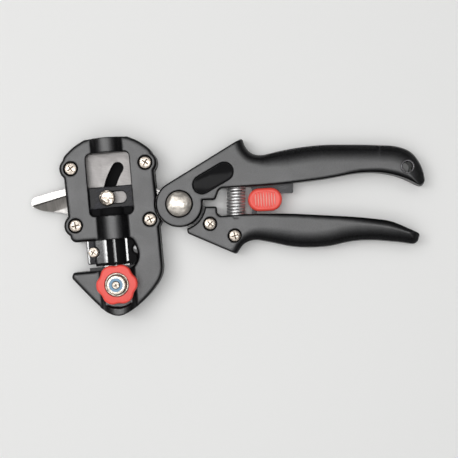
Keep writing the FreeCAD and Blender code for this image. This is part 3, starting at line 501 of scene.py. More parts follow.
@cache
def finish_named(name):
    """Makes each finish once, from the scene's settings."""
    tool = bpy.context.scene.graft_tool
    casting, steel, latch, trim = tool.casting, tool.steel, tool.latch, tool.trim
    makers = {
        "coat": (powder_coat, casting.coat),
        # Copies of one black enamel with different shine, as painted light on the cutter block: the dim one
        # for the window, the glossy and polished ones for highlight lines; the glossy one also blackens the
        # shaded right-hand cutter screws
        "enamel": (gloss_enamel, "enamel", casting.enamel, 0.10, 1.5, 1.0),
        "gloss": (gloss_enamel, "gloss_enamel", casting.enamel, 1.0),
        "polished": (gloss_enamel, "polished_enamel", casting.enamel, 0.5, 2.4),
        "painted_shade": (painted_shade_black, casting.hollow),
        "plate": (
            ground_steel, "ground_plate", steel.plate, PLATE_TURN, 0.30, 2600, 0.22, jaw_part, steel.blade),
        "blade": (ground_steel, "polished_blade", steel.blade, JAW_TURN, 0.18, 2200),
        # The bevel carries the painted shadow line along the cutting edge
        "bevel": (
            ground_steel, "jaw_bevel", steel.bevel, JAW_TURN, 0.42, 1300, 0.3, toothed_edge_shadow, steel.teeth),
        "nickel": (plating, "nickel", steel.nickel, 0.20, 0.35, 620),
        "recess": (plating, "dark_recess", steel.recess, 0.5),
        "hammered": (plating, "hammered_nickel", steel.nickel, 0.18, 2.0, 240),
        "dome": (plating, "brushed_dome", steel.dome, 0.30, 1.3, 150),
        "worn": (plating, "worn_nickel", shade(steel.nickel, 0.75), 0.24, 0.8, 520),
        "black_nickel": (plating, "black_nickel", steel.eyelet, 0.2),
        "spring": (drawn_wire, steel.spring),
        "latch": (dark_steel, steel.latch),
        "red": (moulded, "red_plastic", tool.knob.plastic),
        "salmon": (moulded, "button_plastic", latch.plastic, 0.3),
        "ribs": (moulded, "button_ribs", latch.ribbing, 0.25),
        "nylon": (moulded, "blue_nylon", tool.knob.nylon, 0.4),
        "anvil": (moulded, "anvil_plastic", trim.anvil, 0.45),
        "inlay": (gloss_inlay, trim.inlay),
    }
    maker, *given = makers[name]
    return maker(*given)


# Shapes

def merged_copy(node):
    """A copy of a CAD node's mesh with its loose triangles joined."""
    bm = bmesh.new()
    bm.from_mesh(frame["nodes"][node].data)
    bmesh.ops.remove_doubles(bm, verts=bm.verts, dist=NODE_WELD)
    return bm


def box_of(node):
    """A CAD node's lowest and highest corners, its middle and half its width."""
    low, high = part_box(node)
    return low, high, (low + high) / 2, (high.x - low.x) / 2


def islands(node):
    """The lowest and highest corners of each solid of a CAD node."""
    bm = merged_copy(node)
    found = []
    waiting = set(bm.verts)
    while waiting:
        group = [waiting.pop()]
        for vert in group:
            near = {edge.other_vert(vert) for edge in vert.link_edges} & waiting
            waiting -= near
            group += near
        found.append([
            Vector([pick(vert.co[axis] for vert in group) for axis in range(3)]) for pick in (min, max)])
    bm.free()
    return sorted(found, key=lambda corners: tuple(corners[0]))


def mesh_from(bm, name):
    mesh = bpy.data.meshes.new(name)
    bm.to_mesh(mesh)
    bm.free()
    return mesh


def mesh_of(bm, name, sharp=35):
    """A smooth shaded mesh that keeps edges above an angle in degrees sharp."""
    mesh = mesh_from(bm, name)
    mesh.shade_smooth()
    mesh.set_sharp_from_angle(angle=radians(sharp))
    return mesh


def linked(name, data):
    thing = bpy.data.objects.new(name, data)
    bpy.context.scene.collection.objects.link(thing)
    return thing


def evaluated(mesh, modifiers):
    """What a list of (type, settings) modifiers makes of a mesh."""
    holder = linked("holder", mesh)
    for kind, settings in modifiers:
        modifier = holder.modifiers.new(kind.lower(), kind)
        for name, value in settings.items():
            setattr(modifier, name, value)
    graph = bpy.context.evaluated_depsgraph_get()
    result = bpy.data.meshes.new_from_object(holder.evaluated_get(graph))
    bpy.data.objects.remove(holder)
    return result


def body_of(node):
    return next(name for name, nodes in frame["record"]["behaviour"]["bodies"].items() if node in nodes)


def dress(node, mesh, *names, rides=True):
    """The finished piece for a CAD node, which moves with the node's body."""
    piece = linked(node + "_finished", mesh)
    for name in names:
        mesh.materials.append(finish_named(name))
    if rides:
        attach(piece, body_of(node))
    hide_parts(node)
    return piece


def finish_node(node, finish):
    """Gives a CAD node that stays a finish of its own."""
    mesh = frame["nodes"][node].data
    for index in range(len(mesh.materials)):
        mesh.materials[index] = finish_named(finish)


def repaint(mesh, wanted, index=1):
    """Puts another finish on the faces for which wanted(centre, normal) is true."""
    for face in mesh.polygons:
        if wanted(face.center, face.normal):
            face.material_index = index


def softened(node, grain, rounds, reshape=None):
    """A CAD node's shape with the soft edges of a casting, and its steep faces marked as "steep", which the
    powder coat paints black as shade.
    """
    mesh = mesh_of(merged_copy(node), node + "_soft")
    mesh = evaluated(mesh, [("REMESH", {"mode": "VOXEL", "voxel_size": grain, "use_smooth_shade": True})])
    if reshape:
        reshape(mesh)
    mesh = evaluated(mesh, [("SMOOTH", {"factor": 0.5, "iterations": rounds})])
    mesh.shade_smooth()
    steep = mesh.attributes.new("steep", "FLOAT", "POINT")
    for item, normal in zip(steep.data, mesh.vertex_normals):
        item.value = min(1, max(0, (STEEP_FROM - abs(normal.vector.z)) / STEEP_SPAN))
    return mesh


def eased_plate(node, width):
    """A CAD node's shape with its flat faces joined and its edges broken."""
    bm = merged_copy(node)
    bmesh.ops.dissolve_limit(bm, angle_limit=FLAT_ANGLE, verts=bm.verts, edges=bm.edges)
    sharp = [edge for edge in bm.edges if edge.is_manifold and edge.calc_face_angle() > SHARP_ANGLE]
    bevel(bm, sharp, width, 2)
    bmesh.ops.triangulate(bm, faces=bm.faces)
    return evaluated(mesh_of(bm, node + "_eased", 25), [("WEIGHTED_NORMAL", {"keep_sharp": True})])


def bevel(bm, edges, width, segments):
    bmesh.ops.bevel(
        bm, geom=edges, offset=width, offset_type="OFFSET", segments=segments, profile=0.5,
        affect="EDGES", clamp_overlap=True, material=-1)


def spun(profile, steps=64):
    """A shape turned about the Z axis from (radius, height) points."""
    bm = bmesh.new()
    verts = [bm.verts.new((radius, 0, height)) for radius, height in profile]
    edges = [bm.edges.new(pair) for pair in zip(verts, verts[1:])]
    bmesh.ops.spin(
        bm, geom=verts + edges, cent=(0, 0, 0), axis=(0, 0, 1), angle=tau, steps=steps, use_merge=True)
    bmesh.ops.remove_doubles(bm, verts=bm.verts, dist=WELD)
    bmesh.ops.recalc_face_normals(bm, faces=bm.faces)
    return bm


def rod(radius, low, high):
    return spun([(0, low), (radius, low), (radius, high), (0, high)])


def hexagon(width, low, high, edge=0, turn=0):
    """A six-sided prism by its width across flats, with its edges broken."""
    bm = bmesh.new()
    corner = width / sqrt(3)
    bmesh.ops.create_cone(bm, cap_ends=True, segments=6, radius1=corner, radius2=corner, depth=high - low)
    bmesh.ops.rotate(bm, matrix=Matrix.Rotation(turn, 3, "Z"), verts=bm.verts)
    bmesh.ops.translate(bm, vec=(0, 0, (low + high) / 2), verts=bm.verts)
    if edge:
        bevel(bm, list(bm.edges), edge, 2)
    return bm


def arc(centre, radius, start, end, steps=6):
    """Points of a profile along an arc, by degrees."""
    points = []
    for step in range(steps + 1):
        turn = radians(start + (end - start) * step / steps)
        points.append((centre[0] + radius * cos(turn), centre[1] + radius * sin(turn)))
    return points


def raised(bm, height):
    """A flat shape drawn up into a solid."""
    lifted = bmesh.ops.extrude_face_region(bm, geom=list(bm.faces))
    verts = [item for item in lifted["geom"] if isinstance(item, bmesh.types.BMVert)]
    bmesh.ops.translate(bm, vec=(0, 0, height), verts=verts)
    bmesh.ops.recalc_face_normals(bm, faces=bm.faces)


def placed(bm, matrices):
    """Copies of a shape, each moved by one matrix."""
    mesh = mesh_from(bm, "shape")
    bm = bmesh.new()
    for matrix in matrices:
        start = len(bm.verts)
        bm.from_mesh(mesh)
        bm.verts.ensure_lookup_table()
        bmesh.ops.transform(bm, matrix=matrix, verts=bm.verts[start:])
    bpy.data.meshes.remove(mesh)
    return bm


def joined(bm, part):
    mesh = mesh_from(part, "part")
    bm.from_mesh(mesh)
    bpy.data.meshes.remove(mesh)
    return bm


def carved(bm, *tools):
    mesh = mesh_from(bm, "body")
    cutters = [linked("cutter", mesh_from(tool, "cutter")) for tool in tools]
    settings = {"operation": "DIFFERENCE", "solver": "EXACT"}
    result = evaluated(mesh, [("BOOLEAN", {**settings, "object": cutter}) for cutter in cutters])
    for cutter in cutters:
        bpy.data.objects.remove(cutter)
    bm = bmesh.new()
    bm.from_mesh(result)
    return bm


def tapered_box(half_x, half_y, low, high, taper):
    """A box whose lower end is drawn in by a taper."""
    bm = bmesh.new()
    bmesh.ops.create_cube(bm, size=2)
    for vert in bm.verts:
        draw = taper if vert.co.z < 0 else 0
        vert.co = Vector((
            vert.co.x * (half_x - draw), vert.co.y * (half_y - draw), high if vert.co.z > 0 else low))
    return bm


def thread(low, high, pitch, *points):
    """A thread's profile, from (radius, rise in pitches) points that come at each pitch."""
    profile = []
    while low < high:
        profile += [(radius, low + rise * pitch) for radius, rise in points]
        low += pitch
    return profile


def pan_screw(radius, height, shank, depth, crossed):
    """A pan head screw with its seat at the origin and its cross in a second finish that paints shade into
    it, or a plain pin.
    """
    settings = bpy.context.scene.graft_tool.screw
    pitch = shank * 0.32
    seat_edge = radius - settings.edge
    profile = [(0, -depth), (shank * 0.8, -depth)]
    profile += thread(pitch - depth, -depth * 0.45, pitch, (shank, -0.3), (shank * 0.86, 0.2))
    profile += [(shank, -depth * 0.42), (shank, 0), (seat_edge, 0)]
    profile += arc((seat_edge, settings.edge), settings.edge, -90, 0, 3)
    side = height * 0.6
    profile += [(radius, side)]
    corner = height * 0.22
    profile += arc((radius - corner, side + corner * 0.1), corner, 0, 68, 5)
    crown_radius, crown_start = profile[-1]
    crown_rise = height - crown_start
    for share in (0.75, 0.5, 0.25, 0):
        profile.append((crown_radius * share, crown_start + crown_rise * (1 - share ** 2)))
    head = spun(profile, 48)
    if not crossed:
        return head
    reach = radius * settings.recess
    half = radius * settings.slot / 2
    taper = half * 0.35
    low, high = height * 0.42, height * 1.2
    slots = [tapered_box(*halves, low, high, taper) for halves in ((reach, half), (half, reach))]
    head = carved(head, *slots)
    # Painted shade: the faces inside the cross take the second, darker finish
    for face in head.faces:
        place = face.calc_center_median()
        away = flat(place).length
        crown = crown_start + crown_rise * (1 - (away / crown_radius) ** 2)
        if away < reach * 1.02 and low * 0.9 < place.z < crown - 0.06 * MM:
            face.material_index = 1
    return head


def outer_walls(mesh, middle):
    """Places and outward directions of a handle's outer walls, without its lanyard hole."""
    verts = mesh.vertices
    solid = BVHTree.FromPolygons([vert.co for vert in verts], [face.vertices for face in mesh.polygons])
    _, _, hole, flange = box_of("lanyard_eyelet")
    start = 0.01 * MM
    walls = []
    for vert, normal in zip(verts, mesh.vertex_normals):
        if abs(normal.vector.z) < 0.5 and abs(vert.co.z - middle) > 5 * MM:
            outward = flat(normal.vector).normalized()
            at_hole = flat(vert.co - hole).length < flange + 1.0 * MM
            if not at_hole and solid.ray_cast(vert.co + outward * start, outward)[0] is None:
                walls.append((vert.co.copy(), outward))
    return walls


def rolled(mesh, edges, middle):
    """Curves a handle's two faces down to its edges, as far as GRIP_EDGES says."""
    verts = mesh.vertices
    walls = outer_walls(mesh, middle)
    limits = [middle] * len(verts)
    for side, start, reaches in edges:
        places = [place for place, outward in walls if outward.y * side > -0.1 and place.x > start * MM]
        tree = KDTree(len(places))
        for index, place in enumerate(places):
            tree.insert(flat(place), index)
        tree.balance()
        for index, vert in enumerate(verts):
            reach = between(vert.co.x / MM, reaches) * MM
            away = tree.find(flat(vert.co))[2]
            if away < reach:
                radius = reach / sin(GRIP_SLOPE)
                drop = radius - sqrt(radius ** 2 - (reach - away) ** 2)
                limits[index] = min(limits[index], middle - drop)
    for vert, limit in zip(verts, limits):
        height = vert.co.z - middle
        vert.co.z = middle + copysign(min(abs(height), limit), height)
    mesh.update()


def flat(point):
    return Vector((point.x, point.y, 0))


def between(x, pairs):
    """The value at x on straight lines through (x, value) pairs."""
    for (x0, value0), (x1, value1) in zip(pairs, pairs[1:]):
        if x < x1:
            return value0 + (value1 - value0) * max(0, (x - x0) / (x1 - x0))
    return pairs[-1][1]


class GraftCastings(Operator):
    """Adds the housing, cover and handles as coated castings"""

    bl_idname = "graft.castings"
    bl_label = "Castings"

    def execute(self, context):
        settings = context.scene.graft_tool.casting
        for node in ("front_housing", "back_cover", "upper_handle", "lower_handle"):
            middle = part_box(node)[1].z / 2
            edges = GRIP_EDGES.get(node, ())
            reshape = (lambda mesh: rolled(mesh, edges, middle)) if edges else None
            piece = dress(node, softened(node, settings.grain, settings.softening, reshape), "coat", "painted_shade")
            if node == "back_cover":
                # Painted shade: the back cover's inner floor takes the matt black
                repaint(piece.data, lambda centre, normal: centre.z < 4.5 * MM and normal.z > 0.3)
        return {"FINISHED"}


def head_place(point):
    """A place across and along the head, from the clamp bolt."""
    return TO_HEAD @ flat(point - CLAMP_AXIS)


def crested(mesh):
    """Gives the clamp's rib a narrow crest and a flat on its left that slopes off outward."""
    crest = max(vert.co.z for vert in mesh.vertices)
    rises = [normal.vector.z for normal in mesh.vertex_normals]
    for vert, rise in zip(mesh.vertices, rises):
        across, along, _ = head_place(vert.co)
        outside = along > CLAMP_TOP or abs(across) > CLAMP_HALF
        if outside or rise < -0.1 or vert.co.z < RIB_FLATS - 0.5 * MM:
            continue
        height = RIB_FLATS
        if RIB_SIDES[0] < across < RIB_SIDES[1]:
            height = max(RIB_FLATS, crest - across ** 2 / (2 * RIB_RADIUS))
        elif across < LEFT_FLAT:
            height = RIB_FLATS + (across - LEFT_FLAT) * LEFT_SLOPE
        if rise > 0.1 and (abs(across) < 8 * MM or rise > 0.25) or vert.co.z > height:
            vert.co.z = height
    mesh.update()


def clamp_painted_light(point):
    """Which of the clamp's finishes a place on its front has, as painted light: painted shade on the
    window's bottom, on low faces and short of CLAMP_END, a dim copy of the enamel in the rest of the
    window, and bands of painted highlight and shade in the throat.
    """
    across, along, _ = head_place(point)
    if point.y > WINDOW_END:
        return "painted_shade" if point.z > WINDOW_FRONT else "enamel"
    if point.z < CLAMP_FRONT or along < CLAMP_END:
        return "painted_shade"
    return [name for start, name in CLAMP_LIGHT_BANDS if across > start * MM][-1]


class GraftCutterBlock(Operator):
    """Adds the carrier and clamp of the cutter block"""

    bl_idname = "graft.cutter_block"
    bl_label = "Cutter block"

    def execute(self, context):
        settings = context.scene.graft_tool.casting
        for node in ("cutter_carrier", "cutter_clamp"):
            reshape = crested if node == "cutter_clamp" else None
            mesh = softened(node, settings.block_grain, settings.softening - 2, reshape)
            dress(node, mesh, *CLAMP_FINISHES)
            if node == "cutter_clamp":
                # The clamp's front takes its bands of painted highlight and shade
                for face in mesh.polygons:
                    face.material_index = CLAMP_FINISHES.index(clamp_painted_light(face.center))
        return {"FINISHED"}


class GraftPlates(Operator):
    """Adds the side plate, the lever with its blade and the latch plate"""

    bl_idname = "graft.plates"
    bl_label = "Plates"

    def execute(self, context):
        edge = context.scene.graft_tool.steel.edge
        for node, finish in (("side_plate", "plate"), ("lever", "blade"), ("latch_plate", "latch")):
            piece = dress(node, eased_plate(node, edge), finish, "bevel", "coat")
            if node != "latch_plate":
                repaint(piece.data, lambda centre, normal: 0.7 < abs(normal.z) < 0.985)
            if node == "lever":
                repaint(piece.data, lambda centre, normal: centre.x > -3 * MM, 2)
        return {"FINISHED"}


# Node, shank radius and head height in mm, whether it faces back, turn of each cross
SCREW_KINDS = (
    ("housing_screws", 2.0, 2.4, False, (38, 12, 60, 25)),
    ("cutter_screws", 1.5, 1.4, False, (20, 55, 70, 8)),
    ("handle_screws", 2.5, 2.6, False, (50, 15)),
    ("drive_pin", 2.0, 3.1, False, (30,)),
    ("back_screws", 1.5, 1.8, True, (10, 40, 70)),
    ("tang_screws", 2.0, 2.2, True, (25, 65)),
)


class GraftScrews(Operator):
    """Adds the pan head screws and the drive pin"""

    bl_idname = "graft.screws"
    bl_label = "Screws"

    def execute(self, context):
        for node, shank, head, hanging, turns in SCREW_KINDS:
            corners = islands(node)
            low, high = corners[0]
            radius = (high.x - low.x) / 2
            shank_length = high.z - low.z - head * MM
            seat = low.z + head * MM if hanging else high.z - head * MM
            matrices = []
            for (low, high), turn in zip(corners, turns):
                middle = (low + high) / 2
                move = Matrix.Translation((middle.x, middle.y, seat))
                if hanging:
                    move = move @ Matrix.Rotation(pi, 4, "X")
                matrices.append(move @ Matrix.Rotation(radians(turn), 4, "Z"))
            crossed = node != "drive_pin"
            radius *= 1 if crossed else 0.95
            screw = pan_screw(radius, head * MM, shank * MM, shank_length, crossed)
            mesh = mesh_of(placed(screw, matrices), node)
            dress(node, mesh, "nickel" if crossed else "hammered", "recess", "gloss")
            # Painted shade: the right-hand cutter screws take the black gloss enamel instead of nickel, as
            # they sit in shade
            if node == "cutter_screws":
                repaint(mesh, lambda centre, normal: head_place(centre).x > 0, 2)
        return {"FINISHED"}


def star(low, high, lobes, swell, phase):
    """A lobed disc about the Z axis with rounded rims, from its box."""
    bm = bmesh.new()
    outer = (high.x - low.x) / 2
    bmesh.ops.create_circle(bm, cap_ends=True, segments=lobes * 16, radius=1)
    for vert in bm.verts:
        turn = atan2(vert.co.y, vert.co.x) - phase
        wave = cos(lobes * turn)
        sharpening = swell * 0.10 * (cos(2 * lobes * turn) - 1)
        radius = outer - swell / 2 + swell / 2 * wave - sharpening
        vert.co = Vector((vert.co.x * radius, vert.co.y * radius, 0))
    raised(bm, high.z - low.z)
    rims = [edge for edge in bm.edges if edge.calc_face_angle(0) > radians(60)]
    bevel(bm, rims, 1.1 * MM, 4)
    return bm


def star_knob(settings, low, high, washer, washer_seat):
    """The star with a well for the washer and a bore for the bolt."""
    rise = high.z - low.z
    over = rise + 0.5 * MM
    well = spun([
        (0, washer_seat), (washer + 0.35 * MM, washer_seat), (washer + 0.5 * MM, rise - 0.1 * MM),
        (washer + 1.0 * MM, over), (0, over)])
    knob = star(low, high, settings.lobes, settings.swell, settings.turn)
    return carved(knob, well, rod(BOLT_RADIUS + CLEARANCE, -MM, rise))


def grooved_washer(bore, rim, thick, edge, groove):
    """A washer with rounded edges and a groove between two radii in its upper face."""
    floor = thick - 0.5 * MM
    slope = 0.1 * MM
    return spun([
        (bore, 0), (rim - edge, 0), *arc((rim - edge, edge), edge, -90, 0, 3),
        *arc((rim - edge, thick - edge), edge, 0, 90, 3), (groove[1], thick), (groove[1] - slope, floor),
        (groove[0] + slope, floor), (groove[0], thick), (bore, thick), (bore, 0)])


def lock_nut(height, ring_radius):
    """A hexagon with chamfered corners and a round crown that holds the nylon ring."""
    body = height * 0.8
    half = LOCK_NUT_WIDTH / 2
    side = half * 1.16
    outside = half * 1.3
    shell = spun([
        (outside, -MM), (half * 1.02, -WELD), (side, 0.5 * MM), (side, body - 0.8 * MM),
        (half * 0.97, body + WELD), (outside, body + MM), (outside, -MM)])
    bore = BOLT_RADIUS + CLEARANCE
    collar = half * 0.93
    round_edge = 0.2 * MM
    step = height - 1.4 * MM
    foot = body * 0.5
    crown = spun([
        (bore, foot), (collar, foot),
        *arc((collar - round_edge, height - round_edge), round_edge, 0, 90, 4),
        (ring_radius, height), (ring_radius, step), (bore, step), (bore, foot)])
    nut = carved(hexagon(LOCK_NUT_WIDTH, 0, body), shell, rod(bore, -MM, height))
    return joined(nut, crown)


def nylon_ring(bore, radius, depth, edge):
    """The locking ring, which reaches in over the bolt's thread."""
    lip = 2.2 * MM
    side = radius - 0.02 * MM
    return spun([
        (bore, 0), (side, 0), (side, depth - edge), (radius - edge, depth), (lip + edge, depth),
        (lip, depth - edge), (bore, 0)])


def threaded(radius, thread_low, thread_high, start):
    """A bolt's profile with a thread near its end and a centre mark."""
    profile = [(0, start), (radius, start), (radius, thread_low)]
    profile += thread(thread_low, thread_high - 3.2 * MM, MM, (radius * 0.84, 0.5), (radius, 0.9))
    profile += [(radius * 0.68, thread_high - 1.2 * MM), (radius * 0.67, thread_high - 0.2 * MM)]
    profile += [(radius * 0.6, thread_high), (radius * 0.2, thread_high), (0, thread_high - 0.5 * MM)]
    return profile


class GraftKnob(Operator):
    """Adds the star knob, its washer, lock nut, locking ring and bolt"""

    bl_idname = "graft.knob"
    bl_label = "Knob"

    def execute(self, context):
        low, high, middle, _ = box_of("clamp_knob")
        washer_low, washer_high, _, washer = box_of("knob_washer")
        nut_low, nut_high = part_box("lock_nut")
        ring_low, ring_high, _, ring_radius = box_of("nut_ring")
        bolt_low, bolt_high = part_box("clamp_bolt")
        edge = 0.15 * MM
        inner = BOLT_RADIUS + 0.1 * MM
        groove = (5.05 * MM, 5.75 * MM)
        thick = washer_high.z - washer_low.z

        def fitted(shape, height, name, sharp=35):
            move = Matrix.Translation((middle.x, middle.y, height))
            return mesh_of(placed(shape, [move]), name, sharp)

        knob = star_knob(context.scene.graft_tool.knob, low, high, washer, washer_low.z - low.z)
        dress("clamp_knob", fitted(knob, low.z, "knob", 30), "red")

        ring = grooved_washer(inner, washer + 0.2 * MM, thick, edge, groove)
        ring = fitted(ring, washer_low.z, "washer")
        dress("knob_washer", ring, "worn", "recess")
        # Painted shade: the groove in the washer takes the darker recess plating
        repaint(ring, lambda centre, normal: groove[0] < flat(centre - middle).length < groove[1]
                and centre.z > washer_low.z + thick / 2)

        nut = lock_nut(nut_high.z - nut_low.z, ring_radius)
        dress("lock_nut", fitted(nut, nut_low.z, "nut"), "nickel")

        nylon = nylon_ring(inner, ring_radius, ring_high.z - ring_low.z, edge)
        dress("nut_ring", fitted(nylon, ring_low.z, "ring"), "nylon")

        head_top = bolt_low.z + 4 * MM
        bolt = spun(threaded(BOLT_RADIUS, bolt_high.z - 9 * MM, bolt_high.z, head_top))
        head = hexagon(LOCK_NUT_WIDTH, bolt_low.z, head_top, 0.2 * MM, radians(5))
        dress("clamp_bolt", fitted(joined(bolt, head), 0, "bolt"), "worn")
        return {"FINISHED"}


class GraftPivot(Operator):
    """Adds the domed pivot bolt and its nut"""

    bl_idname = "graft.pivot"
    bl_label = "Pivot"

    def execute(self, context):
        low, high, _, radius = box_of("pivot_bolt")
        rim, dome, lip, end = 2.5 * MM, 1.7 * MM, 0.18 * MM, 0.3 * MM
        seat = high.z - dome - rim
        ball = (radius ** 2 + dome ** 2) / (2 * dome)
        sweep = degrees(asin(radius / ball))
        profile = [(0, low.z), (PIVOT_SHANK - end, low.z), (PIVOT_SHANK, low.z + end), (PIVOT_SHANK, seat)]
        profile += [(radius - lip, seat), *arc((radius - lip, seat + lip), lip, -90, 0, 3)]
        profile += arc((0, high.z - ball), ball, 90 - sweep + 0.8, 90, 24)
        dress("pivot_bolt", mesh_of(spun(profile, 96), "pivot_bolt"), "dome")
        low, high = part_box("pivot_nut")
        nut = hexagon(PIVOT_NUT_WIDTH, low.z, high.z, 0.25 * MM)
        nut = carved(nut, rod(PIVOT_SHANK + CLEARANCE, -MM, high.z + MM))
        dress("pivot_nut", mesh_of(nut, "pivot_nut"), "nickel")
        return {"FINISHED"}


class GraftSpring(Operator):
    """Adds the return spring"""

    bl_idname = "graft.spring"
    bl_label = "Return spring"

    def execute(self, context):
        settings = context.scene.graft_tool.spring
        low, high, middle, outer = box_of("return_spring")
        wire = settings.wire
        closed = 2.1 * wire
        pitch = (high.y - low.y - 2 * wire - 2 * closed) / settings.turns
        steps = 28
        bm = bmesh.new()
        bmesh.ops.create_circle(
            bm, cap_ends=True, segments=10, radius=wire,
            matrix=Matrix.Translation((middle.x + outer - wire, low.y + wire, middle.z)))
        faces = list(bm.faces)
        for turns, rise in ((1, closed), (settings.turns, pitch), (1, closed)):
            wound = bmesh.ops.spin(
                bm, geom=faces, cent=middle, axis=(0, 1, 0), dvec=(0, rise / steps, 0),
                angle=tau * turns, steps=steps * turns)
            faces = [item for item in wound["geom_last"] if isinstance(item, bmesh.types.BMFace)]
        bmesh.ops.remove_doubles(bm, verts=bm.verts, dist=WELD)
        bmesh.ops.recalc_face_normals(bm, faces=bm.faces)
        spring = dress("return_spring", mesh_of(bm, "return_spring", 60), "spring", rides=False)
        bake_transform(spring)
        return {"FINISHED"}


def oval(half_x, half_y, low, high, round_edge):
    """A block with straight long sides, round ends and one rounded rim."""
    bm = bmesh.new()
    bmesh.ops.create_circle(bm, cap_ends=True, segments=64, radius=half_y)
    for vert in bm.verts:
        vert.co += Vector((copysign(half_x - half_y, vert.co.x), 0, low))
    raised(bm, high - low)
    rim = [edge for edge in bm.edges if all(vert.co.z > low + (high - low) / 2 for vert in edge.verts)]
    bevel(bm, rim, round_edge, 5)
    return bm


class GraftLatch(Operator):
    """Adds the latch button and its backing"""

    bl_idname = "graft.latch"
    bl_label = "Latch"

    def execute(self, context):
        settings = context.scene.graft_tool.latch
        low, high, middle, half_x = box_of("latch_button")
        half_y = (high.y - low.y) / 2 - 0.2 * MM
        rib_half, rib_height = 0.52 * MM, 0.62 * MM
        move = Matrix.Translation((middle.x, middle.y, 0)) @ Matrix.Rotation(settings.tilt, 4, "Z")
        button = oval(half_x, half_y, low.z, high.z - 0.35 * MM, 1.7 * MM)
        top = max(button.faces, key=lambda face: face.calc_center_median().z)
        bmesh.ops.inset_individual(button, faces=[top], thickness=0.8 * MM)
        bmesh.ops.translate(button, vec=(0, 0, -0.25 * MM), verts=top.verts)
        for rib in range(settings.ribs):
            offset = (rib - (settings.ribs - 1) / 2) * settings.rib_pitch
            span = (half_y - 1.2 * MM) * sqrt(max(0.2, 1 - (offset / (half_x - 1.0 * MM)) ** 2))
            place = Matrix.Translation((offset, 0, high.z - rib_height))
            bmesh.ops.create_uvsphere(
                button, u_segments=12, v_segments=10, radius=1,
                matrix=place @ Matrix.Diagonal((rib_half, span, rib_height, 1)))
        button = mesh_of(placed(button, [move]), "button", 40)
        dress("latch_button", button, "salmon", "ribs")
        # Painted highlight on the rib tops
        repaint(button, lambda centre, normal: centre.z > high.z - 0.32 * MM)
        low, high, _, half_x = box_of("latch_backing")
        backing = oval(half_x, (high.y - low.y) / 2, -high.z, -low.z, 1.4 * MM)
        flip = Matrix.Rotation(pi, 4, "X")
        dress("latch_backing", mesh_of(placed(backing, [move @ flip]), "backing", 40), "red")
        return {"FINISHED"}


def rolled_eyelet(low, high, flange):
    """An eyelet with a rolled upper rim and a flat flange, from its heights and outer radius."""
    bore = 2.75 * MM
    wall = 0.5 * MM
    edge = 0.15 * MM
    roll = (flange - bore) / 2
    return spun([
        (bore, low + roll), (bore, high - roll), *arc((bore + roll, high - roll), roll, 180, 0, 12),
        (flange, high - wall), (bore + wall, high - wall), (bore + wall, low + wall), (flange, low + wall),
        (flange, low + edge), (flange - edge, low), (bore + 2 * edge, low), (bore, low + roll)])


class GraftTrim(Operator):
    """Adds the bare badge inlay and the lanyard eyelet"""

    bl_idname = "graft.trim"
    bl_label = "Trim"

    def execute(self, context):
        inlay = merged_copy("badge_plate")
        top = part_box("badge_plate")[1].z - 0.01 * MM
        bmesh.ops.dissolve_limit(inlay, angle_limit=FLAT_ANGLE, verts=inlay.verts, edges=inlay.edges)
        rim = [edge for edge in inlay.edges if all(vert.co.z > top for vert in edge.verts)]
        bevel(inlay, rim, 0.3 * MM, 4)
        badge = mesh_of(inlay, "badge_plate", 40)
        dress("badge_plate", badge, "inlay", "coat")
        repaint(badge, lambda centre, normal: abs(normal.z) < 0.97)
        low, high, middle, flange = box_of("lanyard_eyelet")
        ring = placed(rolled_eyelet(low.z, high.z, flange), [Matrix.Translation((middle.x, middle.y, 0))])
        dress("lanyard_eyelet", mesh_of(ring, "eyelet"), "black_nickel")
        return {"FINISHED"}


class GraftBareNodes(Operator):
    """Finishes the small pieces whose shapes stay as they are"""

    bl_idname = "graft.bare_nodes"
    bl_label = "Small pieces"

    def execute(self, context):
        finish_node("anvil", "anvil")
        finish_node("omega_blade", "blade")
        for node in ("drive_bush", "catch_pin", "latch_pins", "latch_rivets"):
            finish_node(node, "nickel")
        return {"FINISHED"}


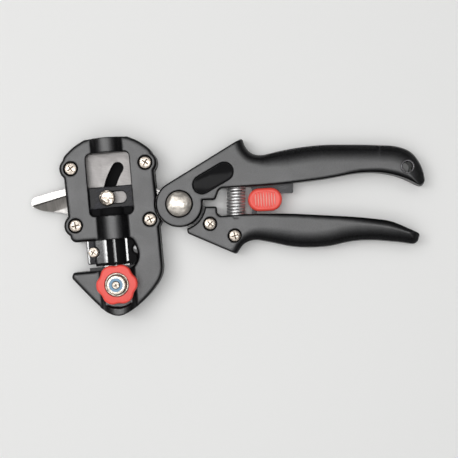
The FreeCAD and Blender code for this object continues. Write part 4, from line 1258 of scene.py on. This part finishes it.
class GraftStage(Operator):
    """Adds the floor, the soft light and the camera"""

    bl_idname = "graft.stage"
    bl_label = "Stage"

    def execute(self, context):
        scene = context.scene
        settings = scene.graft_tool.stage
        bm = bmesh.new()
        bmesh.ops.create_grid(bm, x_segments=1, y_segments=1, size=3)
        bmesh.ops.translate(bm, vec=(0, 0, -0.05 * MM), verts=bm.verts)
        floor = linked("floor", mesh_of(bm, "floor"))
        floor.data.materials.append(pale_floor(settings.floor))
        floor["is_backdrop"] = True

        scene.view_settings.view_transform = "Standard"
        world = bpy.data.worlds.new("studio")
        world.use_nodes = True
        background = world.node_tree.nodes["Background"]
        background.inputs["Color"].default_value = (1, 1, 1, 1)
        background.inputs["Strength"].default_value = settings.sky
        scene.world = world

        for name, size, power, place in (
            ("tent", (2.0, 2.8), settings.tent, (0, 0, 1.45)),
            ("soft_box", (1.5, 1.7), settings.lamp, (-0.25, 0.05, 1.3)),
            ("soft_box_core", (0.25, 1.4), settings.core, (-0.22, 0.05, 1.28)),
        ):
            lamp = bpy.data.lights.new(name, "AREA")
            lamp.shape = "RECTANGLE"
            lamp.size, lamp.size_y = size
            lamp.energy = power
            holder = linked(name, lamp)
            holder.location = place
            holder.rotation_euler = Vector(place).to_track_quat("Z", "Y").to_euler()

        eye = bpy.data.cameras.new("camera")
        eye.lens = settings.lens
        eye.sensor_width = 36
        camera = linked("camera", eye)
        camera.location = (*VIEW_CENTRE, settings.distance + FRONT_HEIGHT)
        scene.camera = camera
        return {"FINISHED"}


class GraftPanel(Panel):
    bl_idname = "VIEW3D_PT_graft_tool"
    bl_label = "Grafting tool"
    bl_space_type = "VIEW_3D"
    bl_region_type = "UI"
    bl_category = "Grafting tool"

    def draw(self, context):
        for operator in OPERATORS:
            self.layout.operator(operator.bl_idname)
        tool = context.scene.graft_tool
        for group in ("casting", "steel", "screw", "knob", "spring", "latch", "trim", "stage"):
            box = self.layout.box()
            box.label(text=group.capitalize())
            settings = getattr(tool, group)
            for name in settings.bl_rna.properties.keys():
                if name not in ("rna_type", "name"):
                    box.prop(settings, name)


OPERATORS = (
    GraftStage, GraftCastings, GraftCutterBlock, GraftPlates, GraftScrews, GraftKnob, GraftPivot,
    GraftSpring, GraftLatch, GraftTrim, GraftBareNodes,
)
SETTINGS = (
    CastingSettings, SteelSettings, ScrewSettings, KnobSettings, SpringSettings, LatchSettings,
    TrimSettings, StageSettings, ToolSettings,
)
CLASSES = (*SETTINGS, *OPERATORS, GraftPanel)


def register():
    for item in CLASSES:
        bpy.utils.register_class(item)
    bpy.types.Scene.graft_tool = PointerProperty(type=ToolSettings)


def unregister():
    del bpy.types.Scene.graft_tool
    for item in reversed(CLASSES):
        bpy.utils.unregister_class(item)


def corners(bounds):
    return [[float(value) for value in corner] for corner in bounds]


def main():
    register()
    for operator in OPERATORS:
        getattr(bpy.ops.graft, operator.bl_idname.split(".")[1])()
    {"cad": corners(cad_bounds), "visual": corners(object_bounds())}


if __name__ == "__main__":
    main()
